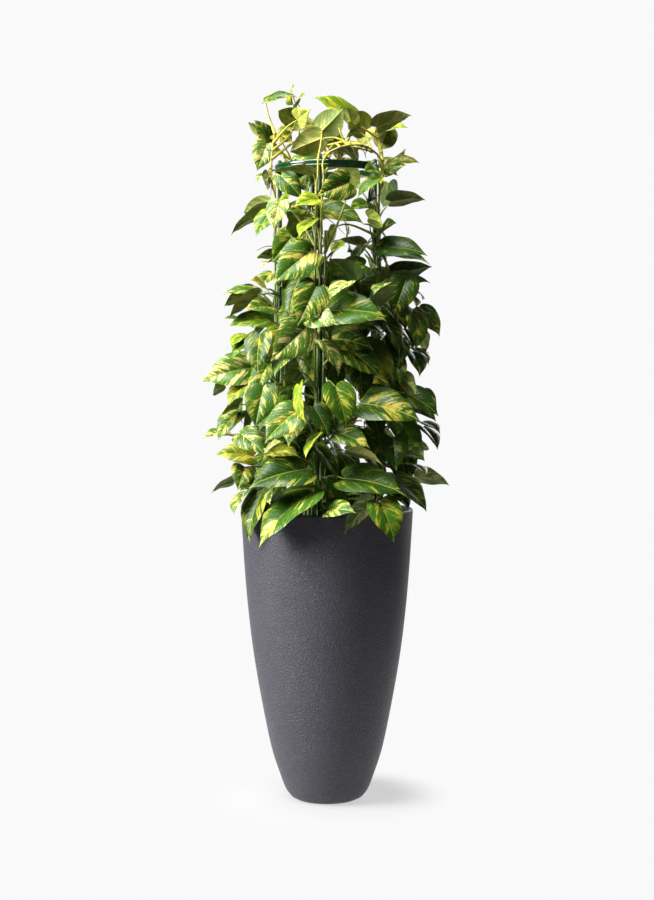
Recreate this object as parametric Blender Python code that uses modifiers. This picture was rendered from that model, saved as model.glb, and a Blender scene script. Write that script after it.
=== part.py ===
"""Potted golden pothos on a ring trellis, one solid for each separate piece. Metres, +Z up."""

import math
import random

import bmesh
import bpy
from mathutils import Vector
from mathutils.bvhtree import BVHTree

# Driving dimensions, metres
MM = 0.001
GAP = 0.0003

PLANTER_HEIGHT = 0.496
PLANTER_WALL = 0.0085
PLANTER_FLOOR = 0.013
PLANTER_SEGMENTS = 32
# Outer radius of the planter at heights above the floor, rim last
PLANTER_OUTLINE = [
    (0.053, 0.000), (0.064, 0.006), (0.072, 0.018), (0.082, 0.045), (0.096, 0.090), (0.113, 0.175),
    (0.1255, 0.250), (0.1345, 0.325), (0.1405, 0.396), (0.1445, 0.460), (0.1465, PLANTER_HEIGHT),
]

POT_TOP = 0.460
POT_BOTTOM = 0.255
POT_TOP_RADIUS = 0.118
POT_BOTTOM_RADIUS = 0.092
POT_WALL = 0.002
POT_LIP = 0.004
POT_SEGMENTS = 28
RISER_BOTTOM_RADIUS = 0.047
RISER_TOP_RADIUS = 0.084
SOIL_TOP = 0.448

STAKE_RADIUS = 0.004
STAKE_BOTTOM = 0.300
STAKE_TOP = 1.086
STAKE_SIDES = 10
STAKES = {
    "front": (-0.0115, -0.0802),
    "right": (0.0806, -0.0080),
    "back": (-0.0250, 0.0770),
    "left": (-0.0800, 0.0126),
}

RING_OUTER = 0.0885
RING_INNER = 0.0856
RING_BOTTOM = 1.0625
RING_HEIGHT = 0.013
RING_SEGMENTS = 32
EYE_RADIUS = 0.0063
EYE_INSET = 0.001

STEM_RADIUS = 0.0024
STEM_OFFSET = 0.0085
STEM_BOTTOM = SOIL_TOP - 0.030
STALK_RADIUS = 0.0013
LEAF_THICKNESS = 0.0014

# The eye point of the photograph, from which the leaf list below is read
EYE_DISTANCE = 2.800
EYE_HEIGHT = 0.731

random.seed(11)


# Materials and objects

def material(name, colour, roughness, metallic=0.0):
    made = bpy.data.materials.new(name)
    made.use_nodes = True
    shader = made.node_tree.nodes["Principled BSDF"]
    shader.inputs["Base Color"].default_value = (*colour, 1.0)
    shader.inputs["Roughness"].default_value = roughness
    shader.inputs["Metallic"].default_value = metallic
    return made


for old in list(bpy.data.objects):
    bpy.data.objects.remove(old, do_unlink=True)
parts = bpy.data.collections.new("potted_golden_pothos")
cutters = bpy.data.collections.new("cutters")
bpy.context.scene.collection.children.link(parts)
bpy.context.scene.collection.children.link(cutters)

RESIN = material("charcoal_resin", (0.045, 0.045, 0.050), 0.75)
FOAM = material("riser_foam", (0.80, 0.80, 0.78), 0.90)
POT_PLASTIC = material("nursery_pot_plastic", (0.015, 0.015, 0.015), 0.55)
SOIL = material("potting_soil", (0.045, 0.028, 0.018), 0.95)
STAKE_COAT = material("stake_coating", (0.012, 0.040, 0.018), 0.45)
RING_PLASTIC = material("ring_plastic", (0.010, 0.055, 0.030), 0.30)
LEAF = material("pothos_leaf", (0.16, 0.32, 0.05), 0.35)


def place(name, mesh, surface, collection=parts):
    made = bpy.data.objects.new(name, mesh)
    collection.objects.link(made)
    mesh.materials.clear()
    mesh.materials.append(surface)
    return made


def turned(name, profile, segments, surface, flip=False):
    """A profile of (radius, height) points turned round Z, closed or with both ends on the axis."""
    mesh = bpy.data.meshes.new(name)
    body = bmesh.new()
    corners = [body.verts.new((radius, 0.0, height)) for radius, height in profile]
    for first, second in zip(corners, corners[1:]):
        body.edges.new((first, second))
    if profile[0][0] > 0.0:
        body.edges.new((corners[-1], corners[0]))
    body.to_mesh(mesh)
    body.free()
    made = place(name, mesh, surface)
    spin = made.modifiers.new("turn", "SCREW")
    spin.steps = segments
    spin.render_steps = segments
    spin.use_merge_vertices = True
    spin.merge_threshold = 0.0001
    spin.use_normal_calculate = True
    spin.use_normal_flip = flip
    return made


def cylinder(name, x, y, bottom, top, radius, sides, surface, collection=parts):
    mesh = bpy.data.meshes.new(name)
    body = bmesh.new()
    bmesh.ops.create_cone(
        body, cap_ends=True, segments=sides, radius1=radius, radius2=radius, depth=top - bottom
    )
    body.to_mesh(mesh)
    body.free()
    made = place(name, mesh, surface, collection)
    made.location = (x, y, (top + bottom) / 2)
    if collection is cutters:
        made.hide_render = True
        made.display_type = "WIRE"
    return made


def combine(made, kind, tools, name):
    """Adds a Boolean modifier that unites or cuts with every object in a new collection under the cutters."""
    group = bpy.data.collections.new(name)
    cutters.children.link(group)
    for tool in tools:
        cutters.objects.unlink(tool)
        group.objects.link(tool)
        tool.hide_render = True
        tool.display_type = "WIRE"
    change = made.modifiers.new(name, "BOOLEAN")
    change.operation = kind
    change.operand_type = "COLLECTION"
    change.collection = group
    change.solver = "EXACT"


def evaluated_mesh(made):
    bpy.context.view_layer.update()
    graph = bpy.context.evaluated_depsgraph_get()
    return bpy.data.meshes.new_from_object(made.evaluated_get(graph), depsgraph=graph)


# Planter: one thick-walled shell
def inner_radius(height):
    """Inner radius of the planter wall at a height, between the points of its outline."""
    for (low_radius, low), (high_radius, high) in zip(PLANTER_OUTLINE, PLANTER_OUTLINE[1:]):
        if low <= height <= high:
            return low_radius + (high_radius - low_radius) * (height - low) / (high - low) - PLANTER_WALL
    return PLANTER_OUTLINE[-1][0] - PLANTER_WALL


inside = [(0.0, PLANTER_FLOOR), (0.048, PLANTER_FLOOR)]
inside += [(inner_radius(height), height) for height in (0.022, 0.045, 0.090, 0.175, 0.325)]
inside += [(inner_radius(PLANTER_HEIGHT), PLANTER_HEIGHT)]
planter_profile = inside + PLANTER_OUTLINE[::-1] + [(0.0, 0.0)]
turned("planter", planter_profile, PLANTER_SEGMENTS, RESIN, flip=True)

# Riser block on the planter floor
riser_profile = [(0.0, POT_BOTTOM - GAP), (RISER_TOP_RADIUS, POT_BOTTOM - GAP),
                 (RISER_BOTTOM_RADIUS, PLANTER_FLOOR + GAP), (0.0, PLANTER_FLOOR + GAP)]
turned("riser_block", riser_profile, POT_SEGMENTS, FOAM, flip=True)

# Nursery pot on the riser, with a rolled lip
pot_profile = [
    (0.0, POT_BOTTOM + POT_WALL), (POT_BOTTOM_RADIUS - POT_WALL, POT_BOTTOM + POT_WALL),
    (POT_TOP_RADIUS - POT_WALL, POT_TOP), (POT_TOP_RADIUS + POT_LIP, POT_TOP),
    (POT_TOP_RADIUS + POT_LIP, POT_TOP - 2 * POT_LIP), (POT_TOP_RADIUS - 0.001, POT_TOP - 2 * POT_LIP),
    (POT_BOTTOM_RADIUS, POT_BOTTOM), (0.0, POT_BOTTOM),
]
turned("nursery_pot", pot_profile, POT_SEGMENTS, POT_PLASTIC, flip=True)


def soil_radius(height):
    share = (height - POT_BOTTOM - POT_WALL) / (POT_TOP - POT_BOTTOM - POT_WALL)
    return POT_BOTTOM_RADIUS + (POT_TOP_RADIUS - POT_BOTTOM_RADIUS) * share - POT_WALL - 2 * GAP


# Potting soil, gently domed, with a hole for each stake and each stem
soil_bottom = POT_BOTTOM + POT_WALL + GAP
soil_profile = [(0.0, SOIL_TOP + 0.003), (0.060, SOIL_TOP + 0.002), (soil_radius(SOIL_TOP), SOIL_TOP),
                (soil_radius(soil_bottom), soil_bottom), (0.0, soil_bottom)]
potting_soil = turned("potting_soil", soil_profile, POT_SEGMENTS, SOIL)

# Stakes, set in the soil
for side, (x, y) in STAKES.items():
    cylinder("stake_" + side, x, y, STAKE_BOTTOM, STAKE_TOP, STAKE_RADIUS, STAKE_SIDES, STAKE_COAT)

# Trellis ring: a ribbed band with four eyes round the stakes
rib = RING_HEIGHT / 4
ring_profile = [
    (RING_INNER, RING_BOTTOM), (RING_OUTER - 0.0006, RING_BOTTOM), (RING_OUTER, RING_BOTTOM + rib),
    (RING_OUTER - 0.0012, RING_BOTTOM + 2 * rib), (RING_OUTER, RING_BOTTOM + 3 * rib),
    (RING_OUTER - 0.0006, RING_BOTTOM + 4 * rib), (RING_INNER, RING_BOTTOM + 4 * rib),
]
ring = turned("trellis_ring", ring_profile, RING_SEGMENTS, RING_PLASTIC)
eyes = [
    cylinder("eye_" + side, x, y, RING_BOTTOM + EYE_INSET, RING_BOTTOM + RING_HEIGHT - EYE_INSET,
             EYE_RADIUS, STAKE_SIDES, RING_PLASTIC, cutters)
    for side, (x, y) in STAKES.items()
]
eye_holes = [
    cylinder("eye_hole_" + side, x, y, RING_BOTTOM - 0.005, RING_BOTTOM + RING_HEIGHT + 0.005,
             STAKE_RADIUS + 2 * GAP, STAKE_SIDES, RING_PLASTIC, cutters)
    for side, (x, y) in STAKES.items()
]
combine(ring, "UNION", eyes, "ring_eyes")
combine(ring, "DIFFERENCE", eye_holes, "ring_eye_holes")

# Stems. Each vine climbs beside a stake: (stake, turn round the stake in degrees, height where it stops
# following the stake, then the points of its free end, in millimetres)
VINES = [
    ("front", 133, 1.030, [(-15, -97, 1045), (-14, -98, 1075), (-10, -95, 1098), (-8, -92, 1118)]),
    ("front", 205, 1.020, [(-5, -98, 1045), (-7, -98, 1066), (-1, -96, 1080), (12, -92, 1090),
                           (31, -87, 1097), (53, -76, 1100), (71, -61, 1096), (84, -46, 1088)]),
    ("front", 277, 0.960, []),
    ("front", 349, 0.860, []),
    ("front", 61, 0.740, []),
    ("right", 226, 1.020, [(93, -26, 1046), (93, -34, 1072), (82, -44, 1090), (66, -55, 1094),
                           (48, -64, 1097), (33, -72, 1100), (24, -75, 1116), (20, -75, 1128)]),
    ("right", 296, 1.030, [(94, -2, 1050), (95, -1, 1078), (91, 0, 1104), (85, 1, 1124)]),
    ("right", 8, 0.970, []),
    ("right", 80, 0.850, []),
    ("right", 152, 0.720, []),
    ("back", 340, 1.020, [(-20, 96, 1048), (-14, 97, 1075), (0, 94, 1092), (24, 86, 1098), (46, 73, 1096)]),
    ("back", 52, 1.020, [(-40, 92, 1046), (-45, 93, 1078), (-62, 74, 1094), (-76, 50, 1098)]),
    ("back", 124, 0.950, []),
    ("back", 196, 0.840, []),
    ("back", 268, 0.730, []),
    ("left", 108, 1.020, [(-93, 3, 1045), (-94, 1, 1080), (-91, -1, 1108), (-87, -3, 1130)]),
    ("left", 180, 0.990, []),
    ("left", 252, 0.900, []),
    ("left", 324, 0.800, []),
    ("left", 36, 0.700, []),
]
STEM_STEP = 0.060
STEM_TWIST = math.radians(200)
SPREAD_HEIGHT = 0.560


def stem_points(stake, turn, top, free_end):
    """Points of a stem that rises out of the soil, leans to its stake and winds slowly round it."""
    x, y = STAKES[stake]
    angle = math.radians(turn)
    points = []
    steps = max(3, round((top - SPREAD_HEIGHT) / STEM_STEP))
    heights = [STEM_BOTTOM, SOIL_TOP + 0.008, 0.505]
    heights += [SPREAD_HEIGHT + (top - SPREAD_HEIGHT) * step / steps for step in range(steps + 1)]
    for height in heights:
        lean = max(0.0, min(1.0, (SPREAD_HEIGHT - height) / (SPREAD_HEIGHT - SOIL_TOP - 0.008)))
        reach = STEM_OFFSET * (1.0 + 0.9 * lean)
        bend = angle + STEM_TWIST * max(0.0, height - SPREAD_HEIGHT)
        points.append(Vector((x + reach * math.cos(bend), y + reach * math.sin(bend), height)))
    return points + [Vector(point) * MM for point in free_end]


stems = [stem_points(*vine) for vine in VINES]

# Soil holes for the stakes and the stems
holes = [
    cylinder("stake_hole_" + side, x, y, STAKE_BOTTOM - GAP, SOIL_TOP + 0.02, STAKE_RADIUS + 2 * GAP,
             STAKE_SIDES, SOIL, cutters)
    for side, (x, y) in STAKES.items()
]
for number, points in enumerate(stems, 1):
    foot = points[0]
    holes.append(cylinder(f"stem_hole_{number:02d}", foot.x, foot.y, STEM_BOTTOM - GAP, SOIL_TOP + 0.02,
                          STEM_RADIUS + 4 * GAP, 8, SOIL, cutters))
combine(potting_soil, "DIFFERENCE", holes, "soil_holes")

# Leaves that the photograph shows. Each row is read in the plane of the pot's axis, in millimetres: the
# leaf's base (across, height), its tip (across, height), how wide it looks, how deep it lies behind the
# outermost leaves (0 to 3), and 1 where its underside faces the viewer
SEEN_LEAVES = [
    # Crown, above the ring
    (-103, 1184, -50, 1191, 20, 0, 0), (-101, 1112, -118, 1067, 42, 0, 0), (-10, 1121, -64, 1098, 42, 0, 1),
    (-9, 1133, 28, 1171, 46, 0, 1), (84, 1140, 143, 1161, 24, 0, 1), (84, 1139, 136, 1140, 26, 0, 0),
    (-52, 1150, -83, 1168, 30, 1, 1), (-50, 1152, -28, 1170, 34, 1, 0), (-96, 1113, -123, 1153, 30, 1, 0),
    (-26, 1143, -86, 1133, 30, 1, 0), (40, 1150, 31, 1174, 24, 1, 1), (66, 1136, 38, 1163, 44, 1, 1),
    (-60, 1199, -57, 1176, 14, 1, 0), (-49, 1178, -37, 1195, 8, 2, 0), (-114, 1126, -132, 1149, 13, 2, 1),
    (-84, 1128, -58, 1112, 30, 2, 0), (50, 1146, -23, 1191, 38, 2, 0), (102, 1137, 89, 1101, 42, 2, 1),
    (60, 1134, 66, 1110, 28, 2, 1), (50, 1134, 31, 1121, 18, 2, 1),
    # Between the ring and the middle
    (91, 1070, 133, 1077, 34, 0, 0), (86, 1066, 62, 1067, 26, 0, 0), (88, 1054, 51, 1022, 20, 0, 0),
    (38, 1047, -17, 1025, 50, 0, 0), (-24, 1062, -90, 1065, 7, 0, 1), (-18, 1088, -62, 1087, 22, 1, 0),
    (110, 1081, 156, 1081, 20, 1, 0), (88, 1063, 119, 1060, 18, 1, 0), (-97, 1064, -118, 1049, 14, 1, 0),
    (-98, 1058, -101, 1038, 12, 1, 1), (28, 1073, 56, 1035, 28, 1, 1), (-78, 1058, -42, 1020, 38, 1, 0),
    (-35, 1060, -31, 1030, 14, 2, 0), (122, 1086, 131, 1100, 6, 2, 1),
    (-14, 1019, -55, 1008, 28, 0, 0), (-33, 1000, -65, 1000, 30, 0, 0), (-18, 1001, 62, 980, 40, 0, 0),
    (-94, 1000, -164, 960, 17, 0, 1), (-94, 997, -120, 958, 32, 0, 0), (-80, 1015, -90, 968, 36, 0, 0),
    (108, 1015, 167, 1019, 22, 0, 1), (70, 988, 95, 976, 20, 0, 1), (-22, 984, -48, 957, 22, 0, 0),
    (104, 1046, 95, 1004, 26, 1, 1), (92, 966, 117, 980, 20, 1, 0), (66, 1020, 72, 997, 14, 1, 0),
    (72, 975, 92, 963, 16, 1, 0), (-118, 984, -142, 976, 10, 1, 0), (-42, 980, -71, 966, 28, 1, 1),
    (-20, 966, -50, 948, 10, 1, 0), (-97, 1010, -142, 996, 40, 2, 1), (2, 967, 2, 938, 20, 2, 1),
    (-60, 955, -93, 914, 44, 0, 0), (-27, 931, -90, 878, 58, 0, 0), (8, 926, 31, 942, 8, 1, 0),
    (91, 937, 170, 926, 38, 0, 0), (97, 957, 103, 944, 12, 1, 0), (107, 883, 178, 907, 36, 1, 1),
    (108, 881, 175, 880, 22, 1, 1), (46, 884, 3, 920, 36, 1, 1), (98, 925, 94, 884, 10, 1, 0),
    (-92, 896, -112, 868, 28, 1, 0), (-92, 925, -119, 922, 11, 1, 1), (-92, 915, -108, 908, 6, 1, 0),
    (55, 944, 20, 952, 10, 2, 1), (35, 948, 35, 930, 9, 2, 0), (27, 986, 34, 958, 10, 2, 0),
    (70, 917, 77, 903, 10, 2, 0), (64, 908, 8, 892, 34, 2, 0), (-60, 890, -78, 872, 14, 2, 1),
    (72, 1010, 38, 1002, 26, 1, 0), (100, 926, 174, 912, 22, 1, 0), (66, 944, 46, 910, 20, 2, 0),
    (74, 1042, 68, 1014, 16, 1, 0), (34, 950, 8, 926, 18, 2, 0), (-62, 1034, -72, 1006, 18, 2, 0),
    # Middle
    (-27, 822, 18, 808, 40, 0, 0), (-18, 872, -50, 806, 56, 0, 0), (-5, 869, -9, 838, 18, 0, 0),
    (-8, 874, -33, 873, 18, 0, 1), (35, 880, 5, 853, 24, 0, 0), (3, 831, 99, 823, 56, 0, 0),
    (-114, 862, -178, 859, 17, 0, 0), (-103, 868, -129, 884, 14, 0, 0), (-117, 857, -168, 817, 18, 0, 1),
    (-90, 836, -139, 834, 30, 0, 0), (98, 876, 79, 860, 16, 0, 0), (86, 842, 118, 876, 22, 0, 1),
    (134, 884, 111, 821, 50, 0, 0), (146, 833, 151, 765, 38, 0, 0), (-35, 803, -95, 747, 64, 0, 0),
    (-113, 792, -117, 724, 44, 0, 0), (-127, 735, -213, 712, 58, 0, 0), (-8, 779, 21, 722, 26, 0, 0),
    (-20, 787, -25, 706, 52, 0, 0), (0, 862, -1, 830, 12, 1, 0), (52, 818, 100, 816, 22, 1, 0),
    (85, 878, 56, 882, 16, 1, 1), (108, 880, 93, 876, 10, 1, 0), (148, 866, 163, 850, 6, 1, 0),
    (156, 834, 192, 789, 36, 1, 0), (-137, 791, -163, 770, 20, 1, 0), (-98, 815, -168, 806, 32, 1, 0),
    (10, 784, 79, 766, 40, 1, 0), (34, 766, 90, 719, 46, 1, 0), (24, 768, 52, 706, 22, 1, 0),
    (-52, 730, -74, 704, 20, 1, 1), (-62, 757, -90, 722, 22, 1, 0), (145, 762, 158, 721, 32, 1, 0),
    (88, 850, 110, 820, 26, 2, 1), (158, 789, 172, 767, 22, 2, 1), (-135, 808, -174, 819, 6, 2, 0),
    (-174, 706, -195, 690, 18, 2, 1), (20, 806, 100, 790, 34, 2, 0), (62, 728, 108, 704, 36, 2, 0),
    (-35, 780, -62, 745, 36, 2, 0), (-98, 722, -135, 705, 14, 2, 0), (-45, 712, -82, 690, 26, 2, 0),
    (146, 768, 173, 741, 20, 2, 0), (-128, 785, -160, 752, 26, 1, 0), (110, 838, 134, 798, 28, 2, 0),
    (-130, 862, -176, 838, 20, 1, 1), (128, 800, 146, 766, 24, 2, 0), (-104, 792, -112, 752, 22, 2, 0),
    (140, 858, 152, 838, 16, 1, 0), (40, 812, 68, 786, 22, 2, 0),
    # Lower part
    (-108, 702, -122, 633, 52, 0, 0), (-50, 662, -106, 608, 50, 0, 0), (-146, 622, -106, 588, 40, 0, 0),
    (-22, 668, 4, 613, 36, 0, 0), (-46, 704, -36, 640, 18, 0, 0), (14, 703, 33, 631, 50, 0, 0),
    (58, 674, 160, 645, 56, 0, 0), (18, 624, 73, 599, 34, 0, 0), (37, 592, 94, 572, 20, 0, 1),
    (-12, 708, -28, 652, 44, 1, 0), (12, 662, 4, 618, 24, 1, 0), (34, 638, 59, 652, 10, 1, 1),
    (30, 631, 60, 645, 8, 1, 1), (132, 692, 190, 654, 38, 0, 0), (150, 692, 187, 669, 30, 1, 0),
    (140, 672, 186, 645, 26, 1, 0), (160, 642, 193, 624, 14, 1, 0), (163, 634, 189, 597, 22, 1, 0),
    (128, 716, 152, 690, 26, 1, 1), (-138, 706, -167, 672, 26, 1, 0), (-150, 672, -182, 653, 11, 1, 1),
    (-163, 622, -210, 617, 16, 1, 0), (-152, 660, -186, 613, 34, 1, 0), (-142, 702, -145, 640, 18, 2, 0),
    (-126, 584, -190, 588, 34, 0, 0), (-140, 566, -152, 527, 40, 0, 0), (5, 618, 23, 540, 44, 0, 0),
    (-8, 625, -38, 583, 11, 0, 0), (-36, 562, -133, 532, 52, 0, 0), (112, 616, 118, 560, 46, 0, 0),
    (-18, 600, 18, 544, 24, 1, 0), (-8, 628, -50, 612, 30, 1, 0), (-97, 592, -45, 583, 20, 1, 0),
    (-102, 590, -48, 622, 13, 1, 0), (135, 600, 166, 577, 34, 1, 0), (145, 570, 169, 551, 12, 1, 0),
    (150, 604, 173, 600, 22, 2, 1), (98, 600, 85, 579, 18, 2, 0), (-80, 622, -45, 598, 26, 2, 0),
    (28, 590, 52, 568, 18, 2, 0), (-128, 632, -144, 612, 18, 2, 0),
    # Over the rim
    (-106, 530, -134, 437, 38, 1, 0), (30, 546, 132, 520, 46, 0, 0), (-28, 520, -118, 431, 44, 0, 0),
    (78, 506, 29, 453, 34, 0, 1), (90, 506, 115, 438, 58, 0, 0), (3, 492, 48, 489, 26, 0, 0),
    (116, 546, 171, 491, 34, 0, 0), (-138, 524, -160, 486, 18, 0, 0), (150, 551, 209, 536, 30, 1, 1),
    (118, 530, 153, 514, 12, 1, 0), (-90, 531, -98, 503, 14, 1, 0), (78, 508, 45, 524, 26, 1, 0),
    (100, 528, 146, 510, 24, 2, 0), (-160, 540, -199, 521, 14, 2, 1), (-124, 548, -148, 533, 26, 2, 1),
    (112, 522, 140, 494, 20, 2, 0), (-124, 531, -148, 526, 12, 1, 0),
]
LAYER_STEP = 0.028
# Distance of the outermost leaf middles from the axis, by height
ENVELOPE = [(0.40, 0.160), (0.52, 0.156), (0.62, 0.158), (0.70, 0.152), (0.80, 0.140), (0.90, 0.128),
            (1.00, 0.112), (1.10, 0.092), (1.20, 0.060)]
# Half width that leaves at the back may reach, by height
BACK_LIMIT = [(0.48, 0.140), (0.60, 0.150), (0.70, 0.145), (0.80, 0.135), (0.90, 0.115), (1.00, 0.095),
              (1.15, 0.080)]
# Places where the photograph's white ground shows through, as (left, right, low, high) in millimetres
WINDOWS = [(-12, 68, 905, 1000), (20, 68, 1000, 1078), (-80, -60, 962, 1022)]


def between(table, height):
    """Value at a height from a list of (height, value)."""
    if height <= table[0][0]:
        return table[0][1]
    for (low, low_value), (high, high_value) in zip(table, table[1:]):
        if height <= high:
            return low_value + (high_value - low_value) * (height - low) / (high - low)
    return table[-1][1]


def from_view(across, height, depth):
    """The point, at a depth behind the axis plane, that the eye sees at (across, height) in that plane."""
    scale = (EYE_DISTANCE + depth) / EYE_DISTANCE
    return Vector((across * scale, depth, EYE_HEIGHT + (height - EYE_HEIGHT) * scale))


class Leaf:
    """A leaf: base, tip, facing of its upper side, width and how it arches and folds along its midrib."""

    def __init__(self, base, tip, facing, width, arch, fold, fine):
        self.base = base
        self.along = tip - base
        self.length = self.along.length
        self.along.normalize()
        self.side = self.along.cross(facing).normalized()
        self.up = self.side.cross(self.along)
        self.width = width
        self.arch = arch
        self.fold = fold
        self.sections = FINE_SECTIONS if fine else COARSE_SECTIONS

    def point(self, station, across, lift=0.0):
        arched = self.arch * self.length * 4 * station * (1 - station)
        rise = arched + self.fold * abs(across) * self.width + lift
        flat = self.base + self.along * (station * self.length) + self.side * (across * self.width)
        return flat + self.up * rise


# Leaf outline sections: station of the midrib, station of the two edge points, half width as a share of
# the width
FINE_SECTIONS = [(0.06, -0.09, 0.34), (0.30, 0.22, 0.50), (0.62, 0.58, 0.37)]
COARSE_SECTIONS = [(0.07, -0.05, 0.38), (0.45, 0.38, 0.46)]


def leaf_solid(leaf, stalk, stalk_radius=STALK_RADIUS, swell=0.0):
    """Vertices and faces of a stalk that widens into a leaf blade, a loft closed at both ends."""
    verts = []
    arrive = (leaf.base - stalk[-1]).normalized()
    heading = (arrive + leaf.along).normalized()
    up = leaf.side.cross(heading).normalized()
    if up.dot(leaf.up) < 0:
        up = -up
    rings = [(leaf.base, leaf.side, up)]
    direction = heading
    for index in range(len(stalk) - 1, -1, -1):
        ahead = rings[-1][0] - stalk[index]
        behind = stalk[index] - stalk[index - 1] if index else ahead
        new_direction = (ahead.normalized() + behind.normalized()).normalized()
        spin = direction.rotation_difference(new_direction)
        side = (spin @ rings[-1][1]).normalized()
        up = (spin @ rings[-1][2]).normalized()
        rings.append((stalk[index], side, up))
        direction = new_direction
    for centre, side, up in reversed(rings):
        radius = stalk_radius + swell
        verts += [centre + up * radius, centre + side * radius, centre - up * radius, centre - side * radius]
    half = LEAF_THICKNESS / 2 + swell
    for middle, edge, share in leaf.sections:
        reach = share + swell / leaf.width
        verts += [leaf.point(middle, 0.0, half), leaf.point(edge, reach), leaf.point(middle, 0.0, -half),
                  leaf.point(edge, -reach)]
    verts.append(leaf.point(1.0 + swell / leaf.length, 0.0))
    faces = [(3, 2, 1, 0)]
    ring_count = (len(verts) - 1) // 4
    for ring in range(ring_count - 1):
        for corner in range(4):
            following = (corner + 1) % 4
            near, far = 4 * ring, 4 * ring + 4
            faces.append((near + corner, near + following, far + following, far + corner))
    last = 4 * (ring_count - 1)
    for corner in range(4):
        faces.append((last + corner, last + (corner + 1) % 4, last + 4))
    return verts, faces


def blade_shell(leaf, clearance):
    """Vertices and faces of a slab round a leaf blade, used to keep blades apart."""
    rows = [(0.0, 0.0, 0.02)] + list(leaf.sections) + [(1.0, 1.0, 0.02)]
    verts = []
    for middle, edge, share in rows:
        reach = share + clearance / leaf.width
        for lift in (clearance, -clearance):
            verts += [leaf.point(edge, reach, lift), leaf.point(middle, 0.0, lift)]
            verts.append(leaf.point(edge, -reach, lift))
    faces = []
    for row in range(len(rows) - 1):
        first = 6 * row
        second = first + 6
        for ring in ((0, 1), (1, 2), (2, 5), (5, 4), (4, 3), (3, 0)):
            faces.append((first + ring[0], first + ring[1], second + ring[1], second + ring[0]))
    return verts, faces


def tube(points, radius, sides=4):
    """Vertices and faces of an open tube along points, used to keep stalks apart."""
    verts = []
    for index, centre in enumerate(points):
        ahead = points[min(index + 1, len(points) - 1)] - points[max(index - 1, 0)]
        side = ahead.orthogonal().normalized()
        up = ahead.cross(side).normalized()
        for corner in range(sides):
            turn = math.tau * corner / sides
            verts.append(centre + up * (radius * math.cos(turn)) + side * (radius * math.sin(turn)))
    faces = []
    for first in range(0, sides * (len(points) - 1), sides):
        for corner in range(sides):
            following = (corner + 1) % sides
            second = first + sides
            faces.append((first + corner, first + following, second + following, second + corner))
    return verts, faces


def turned_shell(profile, segments):
    """Vertices and faces of a profile turned round Z, used to keep leaves off the pots and the ring."""
    verts = []
    for step in range(segments):
        turn = math.tau * step / segments
        around = Vector((math.cos(turn), math.sin(turn), 0.0))
        verts += [around * radius + Vector((0.0, 0.0, height)) for radius, height in profile]
    faces = []
    rows = len(profile)
    for step in range(segments):
        first = rows * step
        second = rows * ((step + 1) % segments)
        faces += [(first + row, first + row + 1, second + row + 1, second + row) for row in range(rows - 1)]
    return verts, faces


def box_shell(low, high):
    """Vertices and faces of a box, used to keep leaves and stalks out of a space that stays open."""
    across, back, up = zip(low, high)
    verts = [Vector((x, y, z)) for x in across for y in back for z in up]
    faces = [(0, 1, 3, 2), (4, 5, 7, 6), (0, 1, 5, 4), (2, 3, 7, 6), (0, 2, 6, 4), (1, 3, 7, 5)]
    return verts, faces


# Spaces that stay open: inside the hoop, and in the planter's mouth over the soil
OPEN_SPACES = [
    ((-0.057, -0.024, 1.058), (0.057, 0.029, 1.080)),
    ((-0.061, -0.039, 0.4525), (0.053, 0.055, 0.4955)),
]
CELL = 0.040


class Crowd:
    """The solids placed so far, filed by the cells that their boxes touch, to keep a new one clear."""

    def __init__(self):
        self.cells = {}

    def span(self, verts):
        low = [min(v[axis] for v in verts) for axis in range(3)]
        high = [max(v[axis] for v in verts) for axis in range(3)]
        steps = [range(math.floor(low[axis] / CELL), math.floor(high[axis] / CELL) + 1) for axis in range(3)]
        return low, high, [(x, y, z) for x in steps[0] for y in steps[1] for z in steps[2]]

    def add(self, verts, faces, owner):
        low, high, keys = self.span(verts)
        item = (low, high, BVHTree.FromPolygons(verts, faces), owner)
        for key in keys:
            self.cells.setdefault(key, []).append(item)

    def clear(self, verts, faces, skip=None):
        low, high, keys = self.span(verts)
        own = BVHTree.FromPolygons(verts, faces)
        tested = set()
        for key in keys:
            for item in self.cells.get(key, []):
                item_low, item_high, tree, owner = item
                if owner == skip or id(item) in tested:
                    continue
                tested.add(id(item))
                apart = any(item_low[axis] > high[axis] or item_high[axis] < low[axis] for axis in range(3))
                if not apart and own.overlap(tree):
                    return False
        return True


crowd = Crowd()
crowd.add(*turned_shell(planter_profile, PLANTER_SEGMENTS), "planter")
crowd.add(*turned_shell(pot_profile, POT_SEGMENTS), "nursery_pot")
crowd.add(*turned_shell(soil_profile, POT_SEGMENTS), "potting_soil")
crowd.add(*turned_shell(ring_profile + ring_profile[:1], RING_SEGMENTS), "trellis_ring")
for x, y in STAKES.values():
    foot = Vector((x, y, STAKE_BOTTOM))
    head = Vector((x, y, STAKE_TOP))
    crowd.add(*tube([foot, head], STAKE_RADIUS + GAP, sides=8), "stake")
    crowd.add(*tube([head - Vector((0, 0, STAKE_TOP - RING_BOTTOM)), head], EYE_RADIUS + GAP, sides=8), "eye")
for number, points in enumerate(stems):
    crowd.add(*tube(points, STEM_RADIUS + 0.0008), ("stem", number))
for low, high in OPEN_SPACES:
    crowd.add(*box_shell(low, high), "open space")

# Places on the stems where a leaf stalk may start
NODE_STEP = 0.014
nodes = []
for number, points in enumerate(stems):
    for first, second in zip(points[1:], points[2:]):
        count = max(1, round((second - first).length / NODE_STEP))
        nodes += [(number, first.lerp(second, (index + 0.5) / count)) for index in range(count)]
    nodes.append((number, points[-1].lerp(points[-2], 0.1)))
used = {number: [] for number in range(len(stems))}
grown = {number: [] for number in range(len(stems))}
outlines = []

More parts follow.
